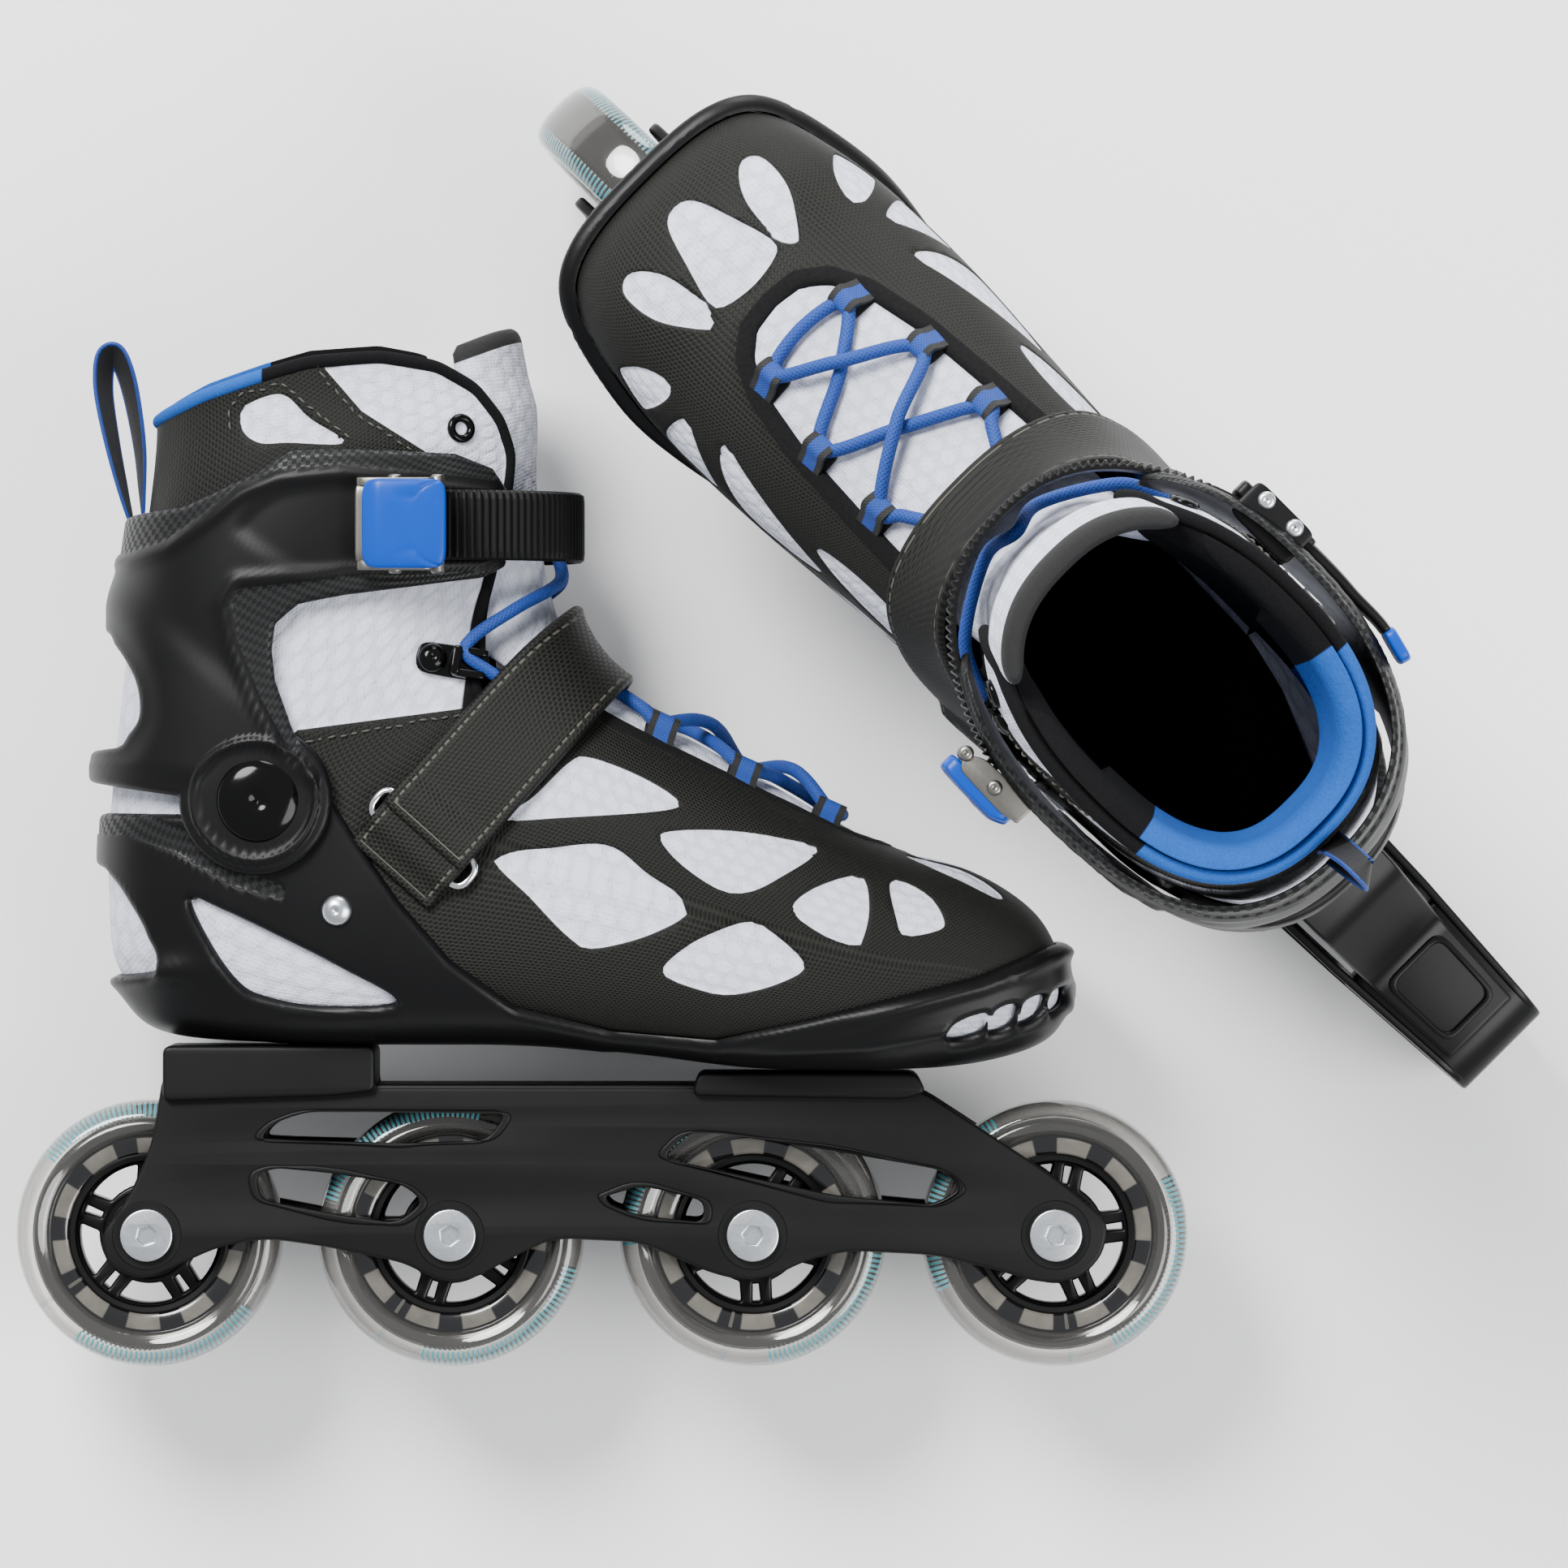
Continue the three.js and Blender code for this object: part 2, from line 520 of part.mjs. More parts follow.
function hub() {
  const ring = new THREE.Shape(new THREE.Path().absarc(0, 0, HUB_RADIUS, 0, 2 * Math.PI).getPoints(10));
  const seat = new THREE.Path().absarc(0, 0, BEARING_RADIUS + FIT, 0, 2 * Math.PI);
  ring.holes.push(new THREE.Path(seat.getPoints(7)));
  const { count, from, to, bulge, sweep } = HUB_WINDOWS;
  for (let k = 0; k < count; k++) {
    const middle = (2 * Math.PI * k) / count + Math.PI / 2;
    const corner = (radius, turn) =>
      new THREE.Vector2(radius * Math.cos(middle + turn), radius * Math.sin(middle + turn));
    const half = sweep / 2;
    ring.holes.push(
      new THREE.Path([
        corner(from, -half),
        corner(to, -half),
        corner(to + bulge, 0),
        corner(to, half),
        corner(from, half),
      ]),
    );
  }
  const depth = HUB_WIDTH;
  const geometry = new THREE.ExtrudeGeometry(ring, { depth, bevelEnabled: false, curveSegments: 4 });
  return solid(geometry.translate(0, 0, -depth / 2).rotateX(Math.PI / 2));
}

const SLEEVE = 1.8; // wall of the spacer sleeve
const AXLE_GAP = 0.25; // round the axle, inside the bearings

// Two bearings on a spacer sleeve.
function bearingSet() {
  const bore = AXLE_RADIUS + AXLE_GAP;
  const half = WHEEL_WIDTH / 2;
  const profile = [
    [bore, -half],
    [BEARING_RADIUS, -half],
    [BEARING_RADIUS, -half + BEARING_WIDTH],
    [bore + SLEEVE, -half + BEARING_WIDTH],
    [bore + SLEEVE, half - BEARING_WIDTH],
    [BEARING_RADIUS, half - BEARING_WIDTH],
    [BEARING_RADIUS, half],
    [bore, half],
    [bore, -half],
  ];
  return turned(profile, 10);
}

function axle(reach) {
  const head = reach + AXLE_HEAD_HEIGHT;
  const profile = [
    [0, -head],
    [AXLE_HEAD_RADIUS, -head],
    [AXLE_HEAD_RADIUS, -reach],
    [AXLE_RADIUS, -reach],
    [AXLE_RADIUS, reach],
    [AXLE_HEAD_RADIUS, reach],
    [AXLE_HEAD_RADIUS, head],
    [0, head],
  ];
  return turned(profile, 10);
}

// ---- Heel brake, on the standing skate only -------------------------------------------------------------
const BRAKE_PLATE = 3;
const BRAKE_IN = FRAME_OUT + FIT;
const BRAKE_REACH = 92.5; // how far the brake stands out behind the rear axle
const BRAKE_END = wheelX(0) - BRAKE_REACH;
const BRAKE_CLEAR = wheelX(0) - WHEEL_RADIUS - 4; // where the cover starts, behind the rear wheel
const PAD = { top: 27, bottom: 6, inset: 2 };

function brakeArm() {
  const rear = wheelX(0);
  const arm = outline([
    [rear + 14, 36], [rear + 14, 52], [rear, 56], [BRAKE_CLEAR, 52], [BRAKE_END + 6, 50], [BRAKE_END, 44],
    [BRAKE_END, PAD.top + FIT], [BRAKE_CLEAR, PAD.top + FIT], [rear - 8, 28], [rear + 6, 28],
  ]);
  const outside = BRAKE_IN + BRAKE_PLATE;
  let made = prism(arm, BRAKE_IN, outside).add(prism(arm, -outside, -BRAKE_IN));
  made = made.subtract(crossways(AXLE_RADIUS + FIT, 3 * outside, rear, WHEEL_RADIUS, 0, 10));
  const cover = outline([
    [BRAKE_CLEAR, 52], [BRAKE_END + 6, 50], [BRAKE_END, 44], [BRAKE_END, PAD.top + FIT],
    [BRAKE_CLEAR, PAD.top + FIT],
  ]);
  return made.add(prism(cover, -outside, outside));
}

function brakePad() {
  const front = BRAKE_CLEAR - PAD.inset;
  const wedge = outline([
    [front, PAD.top], [BRAKE_END + 1, PAD.top], [BRAKE_END - 1, 2 * PAD.bottom],
    [front - PAD.inset, PAD.bottom],
  ]);
  const half = FRAME_OUT - 0.5;
  return prism(wedge, -half, half);
}

// ---- Materials --------------------------------------------------------------------------------------------
const finish = (color, roughness, metalness = 0) =>
  new THREE.MeshStandardMaterial({ color, roughness, metalness });
const MATERIALS = {
  frame: finish(0x161616, 0.5),
  shell: finish(0x1b1b1c, 0.45),
  cuff: finish(0x1c1c1d, 0.45),
  mesh: finish(0xe1e4ee, 0.9),
  lining: finish(0x3c78c8, 0.95),
  strap: finish(0x373732, 0.65),
  ladder: finish(0x202020, 0.5),
  lever: finish(0x0062c8, 0.3),
  steel: finish(0xb9bdc2, 0.3, 1),
  lace: finish(0x1464be, 0.8),
  tyre: finish(0xc8c0b4, 0.2),
  hub: finish(0x141414, 0.4),
  rubber: finish(0x101010, 0.8),
};

// ---- Assembly ---------------------------------------------------------------------------------------------
function mirrored(geometry) {
  geometry.scale(1, -1, 1);
  const index = geometry.index.array;
  for (let k = 0; k < index.length; k += 3) [index[k + 1], index[k + 2]] = [index[k + 2], index[k + 1]];
  return geometry;
}

const BOOT = [
  ["frame", frame(), "frame"],
  ["base_shell", baseShell(), "shell"],
  ["cuff", cuff(), "cuff"],
  ["upper", upper(), "mesh"],
  ["collar_shaft", collarShaft(), "mesh"],
  ["tongue", tongue(), "mesh"],
  ["footbed", footbed(), "lining"],
  ["power_strap", powerStrap(), "strap"],
  ["buckle_body", buckleBody(), "steel"],
  ["release_lever", releaseLever(), "lever"],
  ["ladder_strap", ladderStrap(), "ladder"],
  ["closing_lever", closingLever(), "ladder"],
  ["lace", lace(), "lace"],
];

function skate(name, { flip, brake }) {
  const group = new THREE.Group();
  group.name = name;
  const place = (piece, made, material) => {
    const geometry = flip ? mirrored(geometryOf(made)) : geometryOf(made);
    const mesh = new THREE.Mesh(geometry, MATERIALS[material]);
    mesh.name = `${name}_${piece}`;
    group.add(mesh);
    return mesh;
  };
  for (const [piece, made, material] of BOOT) place(piece, made, material);
  for (let i = 0; i < WHEEL_COUNT; i++) {
    const reach = FRAME_OUT + FIT + (brake && i === 0 ? BRAKE_PLATE + FIT : 0);
    const wheel = [
      ["tyre", tyre(), "tyre"],
      ["hub", hub(), "hub"],
      ["bearings", bearingSet(), "steel"],
      ["axle", axle(reach), "steel"],
    ];
    for (const [piece, made, material] of wheel) {
      place(`${piece}_${i + 1}`, made, material).position.set(wheelX(i), 0, WHEEL_RADIUS);
    }
  }
  if (brake) {
    place("brake_arm", brakeArm(), "frame");
    place("brake_pad", brakePad(), "rubber");
  }
  return group;
}

const left = skate("left", { flip: false, brake: false });
const rest = new THREE.Box3().setFromObject(left, true).max.y;
left.rotation.x = -Math.PI / 2;
left.position.z = rest;

const right = skate("right", { flip: true, brake: true });
right.rotation.z = THREE.MathUtils.degToRad(STANDING.heading);
right.position.set(STANDING.x, STANDING.y, 0);

// The pair stands on the floor with its origin under the middle of its box.
const pair = new THREE.Group();
pair.add(left, right);
pair.updateMatrixWorld(true);
const whole = new THREE.Box3().setFromObject(pair, true);
const middle = whole.getCenter(new THREE.Vector3());
pair.position.set(-middle.x, -middle.y, -whole.min.z);
pair.updateMatrixWorld(true);

export default pair;
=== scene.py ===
"""A pair of inline skates: one lies on its outer side, the other stands upright on its wheels."""

import math

import bpy
import numpy as np
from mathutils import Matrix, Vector


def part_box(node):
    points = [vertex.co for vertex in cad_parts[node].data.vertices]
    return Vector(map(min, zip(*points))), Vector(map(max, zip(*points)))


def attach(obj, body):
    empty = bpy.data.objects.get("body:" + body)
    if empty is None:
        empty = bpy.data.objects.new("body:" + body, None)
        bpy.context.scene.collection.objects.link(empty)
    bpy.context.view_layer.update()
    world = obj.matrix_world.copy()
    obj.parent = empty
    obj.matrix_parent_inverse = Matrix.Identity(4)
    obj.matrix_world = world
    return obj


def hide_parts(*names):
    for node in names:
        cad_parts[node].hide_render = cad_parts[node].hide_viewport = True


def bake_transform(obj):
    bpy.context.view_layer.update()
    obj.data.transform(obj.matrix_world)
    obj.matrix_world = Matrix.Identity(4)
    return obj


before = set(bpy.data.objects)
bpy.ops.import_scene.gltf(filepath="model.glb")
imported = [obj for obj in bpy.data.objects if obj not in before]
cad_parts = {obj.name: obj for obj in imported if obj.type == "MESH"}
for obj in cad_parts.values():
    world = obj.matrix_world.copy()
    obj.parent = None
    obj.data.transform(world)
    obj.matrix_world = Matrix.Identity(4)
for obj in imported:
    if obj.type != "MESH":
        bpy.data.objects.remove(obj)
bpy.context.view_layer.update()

# ---- Each skate's own frame, in millimetres ------------------------------------------------------
# x runs to the toe, y to the skate's outer side and z up, from the floor midway between the end axles.
MM = 0.001
WHEEL_RADIUS = 40.0
WHEELS = 4


def centre_of(node):
    """The middle of a CAD node's box."""
    low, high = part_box(node)
    return (np.array(low) + np.array(high)) / 2


class Skate:
    """One skate's place: the three directions and the origin, read from its end axles."""

    def __init__(self, side):
        self.side = side
        rear, front = (centre_of(f"{side}_axle_{i}") for i in (1, WHEELS))
        self.x = (front - rear) / np.linalg.norm(front - rear)
        up = centre_of(f"{side}_footbed") - (front + rear) / 2
        up = up - self.x * (up @ self.x)
        axis = np.argmax(np.abs(up))
        self.z = np.zeros(3)
        self.z[axis] = np.sign(up[axis])
        self.mirrored = side == "right"
        self.y = np.cross(self.z, self.x) * (-1 if self.mirrored else 1)
        self.origin = (rear + front) / 2 - self.z * WHEEL_RADIUS * MM
        self.wheel_x = [
            ((centre_of(f"{side}_axle_{i + 1}") - self.origin) @ self.x) / MM for i in range(WHEELS)
        ]

    def place(self, points):
        """Points in the skate's own millimetres, put into the row frame in metres."""
        points = np.asarray(points, float) * MM
        return self.origin + points @ np.array([self.x, self.y, self.z])

    def body(self, name):
        return f"{self.side}_{name}"


SKATES = [Skate("left"), Skate("right")]


# ---- Meshes --------------------------------------------------------------------------------------
def volume(points, faces):
    """The signed volume inside a closed mesh, positive when its faces point outwards."""
    a, b = points[faces[:, 0]], points[faces[:, 1]]
    parts = [(b, points[faces[:, 2]])] + ([(points[faces[:, 2]],
        points[faces[:, 3]])] if faces.shape[1] == 4 else [])
    return sum(float(np.einsum("ij,ij->", a, np.cross(p, q))) for p, q in parts) / 6


def new_mesh(skate, name, points, faces, material, body=None, uv=None, masks=None, smooth=True):
    """A mesh object from points in millimetres and faces as rows of three or four point numbers. The
    mesh is closed, so its faces are turned outwards by its signed volume."""
    faces = np.asarray(faces)
    world = skate.place(points)
    if volume(world, faces) < 0:
        faces = faces[:, ::-1]
    mesh = bpy.data.meshes.new(f"{skate.side}_{name}")
    mesh.vertices.add(len(world))
    mesh.vertices.foreach_set("co", world.astype(np.float32).ravel())
    size = faces.shape[1]
    mesh.loops.add(faces.size)
    mesh.loops.foreach_set("vertex_index", faces.astype(np.int32).ravel())
    mesh.polygons.add(len(faces))
    mesh.polygons.foreach_set("loop_start", np.arange(0, faces.size, size, dtype=np.int32))
    mesh.polygons.foreach_set("loop_total", np.full(len(faces), size, dtype=np.int32))
    mesh.update(calc_edges=True)
    if uv is not None:
        layer = mesh.uv_layers.new(name="UVMap")
        layer.data.foreach_set("uv", np.asarray(uv, np.float32)[faces.ravel()].ravel())
    for key, values in (masks or {}).items():
        mesh.attributes.new(key, "FLOAT", "POINT").data.foreach_set("value", np.asarray(values, np.float32))
    mesh.polygons.foreach_set("use_smooth", np.full(len(faces), smooth))
    piece = bpy.data.objects.new(f"{skate.side}_{name}", mesh)
    bpy.context.scene.collection.objects.link(piece)
    mesh.materials.append(material)
    if body:
        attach(piece, skate.body(body))
    return piece


def grid_faces(rows, columns, close_rows=False, close_columns=False):
    """Quads over a grid of points numbered row by row, joined round where asked."""
    i = np.arange(rows if close_rows else rows - 1)
    j = np.arange(columns if close_columns else columns - 1)
    i, j = np.meshgrid(i, j, indexing="ij")
    a, b = i * columns + j, i * columns + (j + 1) % columns
    c, d = ((i + 1) % rows) * columns + (j + 1) % columns, ((i + 1) % rows) * columns + j
    return np.stack([a, b, c, d], -1).reshape(-1, 4)


def smoothstep(low, high, value):
    t = np.clip((value - low) / (high - low), 0, 1)
    return t * t * (3 - 2 * t)


def spline(points, samples, closed=False):
    """A Catmull-Rom curve through the points, as evenly numbered samples."""
    points = np.asarray(points, float)
    count = len(points)
    if closed:
        t = np.linspace(0, count, samples, endpoint=False)
        pick = [(np.floor(t).astype(int) + k) % count for k in (-1, 0, 1, 2)]
    else:
        t = np.linspace(0, count - 1, samples)
        base = np.minimum(np.floor(t).astype(int), count - 2)
        pick = [np.clip(base + k, 0, count - 1) for k in (-1, 0, 1, 2)]
        t = t - base
    u = (t % 1 if closed else t)[:, None]
    a, b, c, d = (points[k] for k in pick)
    return 0.5 * (2 * b + (c - a) * u + (2 * a - 5 * b + 4 * c - d) * u**2 + (3 * b - a - 3 * c + d) * u**3)


def distance_in(loop, x, y):
    """Signed distance from points to a closed outline, positive inside: the nearest of its straight
    pieces gives the size, and the count of crossings to one side gives the sign."""
    shape = x.shape
    x, y = np.ravel(x), np.ravel(y)
    best = np.full(x.shape, 1e9)
    inside = np.zeros(x.shape, bool)
    following = np.roll(loop, -1, axis=0)
    for (ax, ay), (bx, by) in zip(loop, following):
        dx, dy = bx - ax, by - ay
        t = np.clip(((x - ax) * dx + (y - ay) * dy) / max(dx * dx + dy * dy, 1e-9), 0, 1)
        best = np.minimum(best, (x - ax - t * dx) ** 2 + (y - ay - t * dy) ** 2)
        if ay != by:
            crosses = ((ay > y) != (by > y)) & (x < dx * (y - ay) / dy + ax)
            inside ^= crosses
    return np.where(inside, 1, -1).reshape(shape) * np.sqrt(best).reshape(shape)


def rounded(points, samples=90):
    """A soft closed outline through the points."""
    return spline(points, samples, closed=True)


# ---- The boot's surface --------------------------------------------------------------------------
# Sections from the toe round the heel to the collar: a point on the top or front, one on the sole or
# back, and the half width.
SECTIONS = np.array([
    [138.6, 113.8, 138.5, 111.6, 2], [137.5, 117, 136.5, 108, 16], [135, 128, 131, 101, 31],
    [127, 138.5, 120, 96.5, 40], [110, 149, 103, 93.5, 45.5], [84, 157, 80, 92.6, 49],
    [50, 175.5, 46, 93, 49], [19, 193, 12, 97, 46.5], [0, 206, -22, 100, 44.5],
    [-10, 219.5, -58, 100.6, 43], [-13, 232, -98, 100.8, 42], [-14.5, 241, -130, 104, 41],
    [-15.5, 248, -145, 119, 40.5], [-16, 255, -148, 140, 41], [-16.5, 262, -147.5, 166, 41.5],
    [-17, 269, -145, 192, 42.5], [-18, 277, -141.5, 222, 44.5], [-20, 287, -136, 254, 44.5],
    [-24, 297, -133.5, 284, 42], [-28.3, 318.6, -137.8, 305.6, 42],
])
LAST = len(SECTIONS) - 1
ANKLE = 10.0  # the section where the flat sole ends


def boot_point(s, v):
    """The fabric's surface. s runs along the sections and v round them from the top: the section's
    line from base to top carries a rounded square whose lower corners are tighter along the sole."""
    s = np.clip(s, 0, LAST)
    i = np.minimum(np.floor(s).astype(int), LAST - 1)
    u = (s - i)[..., None]
    a, b, c, d = (SECTIONS[np.clip(i + k, 0, LAST)] for k in (-1, 0, 1, 2))
    now = 0.5 * (2 * b + (c - a) * u + (2 * a - 5 * b + 4 * c - d) * u**2 + (3 * b - a - 3 * c + d) * u**3)
    cosine, sine = np.cos(v), np.sin(v)
    squareness = np.where(cosine < 0, 2.4 + 1.6 * smoothstep(ANKLE + 1, ANKLE - 1, s), 2.4)
    along = np.sign(cosine) * np.abs(cosine) ** (2 / squareness) / 2
    across = np.sign(sine) * np.abs(sine) ** (2 / squareness)
    x = (now[..., 0] + now[..., 2]) / 2 + along * (now[..., 0] - now[..., 2])
    z = (now[..., 1] + now[..., 3]) / 2 + along * (now[..., 1] - now[..., 3])
    return np.stack([x, across * now[..., 4], z], -1)


def boot_normal(s, v):
    """The surface's outward direction, from its slopes along s and v."""
    step_s, step_v = 0.04, 0.03
    along = boot_point(np.clip(s + step_s, 0, LAST), v) - boot_point(np.clip(s - step_s, 0, LAST), v)
    round_ = boot_point(s, v + step_v) - boot_point(s, v - step_v)
    normal = np.cross(round_, along)
    return normal / np.maximum(np.linalg.norm(normal, axis=-1, keepdims=True), 1e-9)


def even_angles(samples):
    """Angles round a section whose points are about evenly spaced on it."""
    v = np.linspace(-math.pi, math.pi, 4001)
    ring = boot_point(np.full(v.shape, 14.0), v)
    length = np.concatenate([[0], np.cumsum(np.linalg.norm(np.diff(ring, axis=0), axis=1))])
    return np.interp(np.linspace(0, length[-1], samples), length, v)


PIVOT = np.array([-100.7, 169.8])


class Skin:
    """A stretch of the boot's surface as triangles. Each of its values is an array with a row for each
    point: point, normal, map (running lengths in millimetres), s, and any mask that is added."""

    def __init__(self, rows, columns, s_from=0.0, s_to=LAST):
        s = np.linspace(s_from, s_to, rows)
        v = even_angles(columns + 1)[:-1]
        s, v = np.meshgrid(s, v, indexing="ij")
        point = boot_point(s, v)
        steps = np.linalg.norm(np.diff(point, axis=0), axis=2).mean(1)
        along = np.concatenate([[0], np.cumsum(steps)])
        u, w = np.meshgrid(along, np.linspace(-140, 140, columns), indexing="ij")
        self.values = {
            "point": point.reshape(-1, 3),
            "normal": boot_normal(s, v).reshape(-1, 3),
            "map": np.stack([u, w], -1).reshape(-1, 2),
            "s": s.ravel(),
            "front": np.cos(v).ravel(),
        }
        quads = grid_faces(rows, columns, close_columns=True)
        self.faces = np.concatenate([quads[:, [0, 1, 2]], quads[:, [0, 2, 3]]])

    def __getitem__(self, name):
        return self.values[name]

    def __setitem__(self, name, value):
        self.values[name] = np.asarray(value, float)

    @property
    def side(self):
        """Side-view coordinates, x and z."""
        return self["point"][:, 0], self["point"][:, 2]

    def split(self, name, level=0.0, keep=False):
        """Puts an edge loop where a mask crosses a level, with every value taken as linear along each
        edge that it crosses. With keep, only the side above the level stays."""
        field = self[name] - level
        field = np.where(np.abs(field) < 0.02, np.where(field > 0, 0.02, -0.02), field)
        inside = field[self.faces] > 0
        count = inside.sum(1)
        groups = []
        for number in (1, 2):
            part, flag = self.faces[count == number], inside[count == number]
            odd = np.argmax(flag if number == 1 else ~flag, axis=1)
            rows = np.arange(len(part))
            groups.append([part[rows, (odd + k) % 3] for k in range(3)])
        pairs = np.concatenate([np.stack([g[0], g[k]], 1) for g in groups for k in (1, 2)])
        unique, where = np.unique(np.sort(pairs, axis=1), axis=0, return_inverse=True)
        where = where.ravel() + len(field)
        a, b = unique[:, 0], unique[:, 1]
        share = field[a] / (field[a] - field[b])
        for key, value in self.values.items():
            t = share if value.ndim == 1 else share[:, None]
            self.values[key] = np.concatenate([value, value[a] * (1 - t) + value[b] * t])
        above, below = [self.faces[count == 3]], [self.faces[count == 0]]
        start = 0
        for number, (odd, second, third) in enumerate(groups):
            size = len(odd)
            one, two = where[start : start + size], where[start + size : start + 2 * size]
            start += 2 * size
            corner, rest = (above, below) if number == 0 else (below, above)
            corner.append(np.stack([odd, one, two], 1))
            rest += [np.stack([one, second, third], 1), np.stack([one, third, two], 1)]
        self.faces = np.concatenate(above if keep else above + below)
        if keep:
            used, faces = np.unique(self.faces, return_inverse=True)
            self.faces = faces.reshape(-1, 3)
            self.values = {key: value[used] for key, value in self.values.items()}
        return self

    def walls(self, outer, inner):
        """A closed solid between two offsets along the normals, with walls round its open edges."""
        point, normal, faces = self["point"], self["normal"], self.faces
        count = len(point)
        outer, inner = (np.broadcast_to(np.asarray(k, float), (count,)) for k in (outer, inner))
        points = np.concatenate([point + normal * outer[:, None], point + normal * inner[:, None]])
        edges = np.concatenate([faces[:, [0, 1]], faces[:, [1, 2]], faces[:, [2, 0]]])
        key = np.sort(edges, axis=1)
        _, first, counts = np.unique(key, axis=0, return_index=True, return_counts=True)
        a, b = edges[first[counts == 1]].T
        rim = [np.stack([b, a, a + count], 1), np.stack([b, a + count, b + count], 1)]
        return points, np.concatenate([faces, faces[:, ::-1] + count] + rim)

    def make(self, skate, name, material, body, outer, inner, masks=()):
        points, faces = self.walls(outer, inner)
        uv = np.tile(self["map"], (2, 1))
        carried = {key: np.tile(self[key], 2) for key in masks}
        return new_mesh(skate, name, points, faces, MATERIALS[material], body, uv, carried)


def rounding(depth, radius):
    """A quarter-round edge: 0 at the edge, rising to 1 at a radius in from it."""
    t = 1 - np.clip(depth / radius, 0, 1)
    return np.sqrt(np.maximum(1 - t * t, 0))


# ---- Materials -----------------------------------------------------------------------------------
def group(name, inputs, outputs):
    """An empty node group with named sockets, its input node and its output node."""
    tree = bpy.data.node_groups.new(name, "ShaderNodeTree")
    for key, kind, value in inputs:
        socket = tree.interface.new_socket(name=key, in_out="INPUT", socket_type=kind)
        if value is not None:
            socket.default_value = value
    for key, kind in outputs:
        tree.interface.new_socket(name=key, in_out="OUTPUT", socket_type=kind)
    return tree, tree.nodes.new("NodeGroupInput"), tree.nodes.new("NodeGroupOutput")


class Nodes:
    """Short names for adding nodes to a tree and joining them."""

    def __init__(self, tree):
        self.tree = tree

    def add(self, kind, inputs=None, **settings):
        node = self.tree.nodes.new(kind)
        for key, value in settings.items():
            setattr(node, key, value)
        for key, value in (inputs or {}).items():
            if isinstance(value, bpy.types.NodeSocket):
                self.tree.links.new(value, node.inputs[key])
            else:
                node.inputs[key].default_value = value
        return node

    def math(self, operation, a, b=0.0, c=None):
        inputs = {0: a, 1: b}
        if c is not None:
            inputs[2] = c
        return self.add("ShaderNodeMath", inputs, operation=operation).outputs[0]

    def step(self, value, low, high):
        """0 below low and 1 above high, soft between them."""
        node = self.add("ShaderNodeMapRange", {0: value, 1: low, 2: high}, interpolation_type="SMOOTHSTEP")
        return node.outputs[0]

    def mix(self, factor, a, b):
        node = self.add("ShaderNodeMix", {0: factor, 6: a, 7: b}, data_type="RGBA")
        return node.outputs[2]

    def blend(self, factor, a, b):
        node = self.add("ShaderNodeMix", {0: factor, 2: a, 3: b}, data_type="FLOAT")
        return node.outputs[0]

    def mask(self, name):
        return self.add("ShaderNodeAttribute", attribute_name=name).outputs["Fac"]

    def uv(self):
        return self.add("ShaderNodeUVMap", uv_map="UVMap").outputs[0]

    def place(self):
        return self.add("ShaderNodeTexCoord").outputs["Object"]

    def noise(self, vector, scale, detail=3.0, roughness=0.55):
        inputs = {"Vector": vector, "Scale": scale, "Detail": detail, "Roughness": roughness}
        return self.add("ShaderNodeTexNoise", inputs).outputs[0]

    def bump(self, height, strength, distance, normal=None):
        inputs = {"Height": height, "Strength": strength, "Distance": distance}
        if normal is not None:
            inputs["Normal"] = normal
        return self.add("ShaderNodeBump", inputs).outputs[0]


def colour(r, g, b):
    return (r, g, b, 1.0)


def use(n, tree, **inputs):
    node = n.add("ShaderNodeGroup", node_tree=tree)
    for key, value in inputs.items():
        if isinstance(value, bpy.types.NodeSocket):
            n.tree.links.new(value, node.inputs[key])
        else:
            node.inputs[key].default_value = value
    return node.outputs


def make_knit():
    """A knitted mesh on a map in millimetres: rows of small loops with pinholes, and wide faint
    six-sided quilting. It puts out a height and a painted shade that darkens the pinholes and the dips
    between the quilted cells."""
    tree, entry, out = group(
        "knit_mesh",
        [("Map", "NodeSocketVector", None), ("Pitch", "NodeSocketFloat", 1.1)],
        [("Height", "NodeSocketFloat"), ("Shade", "NodeSocketFloat")],
    )
    n = Nodes(tree)
    frequency = n.math("DIVIDE", 1.0, entry.outputs["Pitch"])
    combine = n.add("ShaderNodeCombineXYZ", {0: frequency, 1: frequency, 2: frequency}).outputs[0]
    fine = n.add("ShaderNodeVectorMath", {0: entry.outputs["Map"], 1: combine},
        operation="MULTIPLY").outputs[0]
    loops = n.add("ShaderNodeTexVoronoi",
        {"Vector": fine, "Scale": 1.0, "Randomness": 0.35}).outputs["Distance"]
    quilt = use(n, EMBOSS, Map=entry.outputs["Map"], Pitch=6.5)["Height"]
    yarn = n.step(loops, 0.75, 0.15)
    height = n.math("ADD", n.math("MULTIPLY", yarn, 0.35), n.math("MULTIPLY", quilt, 0.8))
    tree.links.new(height, out.inputs["Height"])
    # painted shade: the pinholes and the dips between the quilted cells come out darker in the shade output
    pin = n.step(loops, 0.5, 0.8)
    shade = n.math("ADD", n.math("MULTIPLY", pin, 0.7),
        n.math("MULTIPLY", n.math("SUBTRACT", 1.0, quilt), 0.3))
    tree.links.new(shade, out.inputs["Shade"])
    return tree


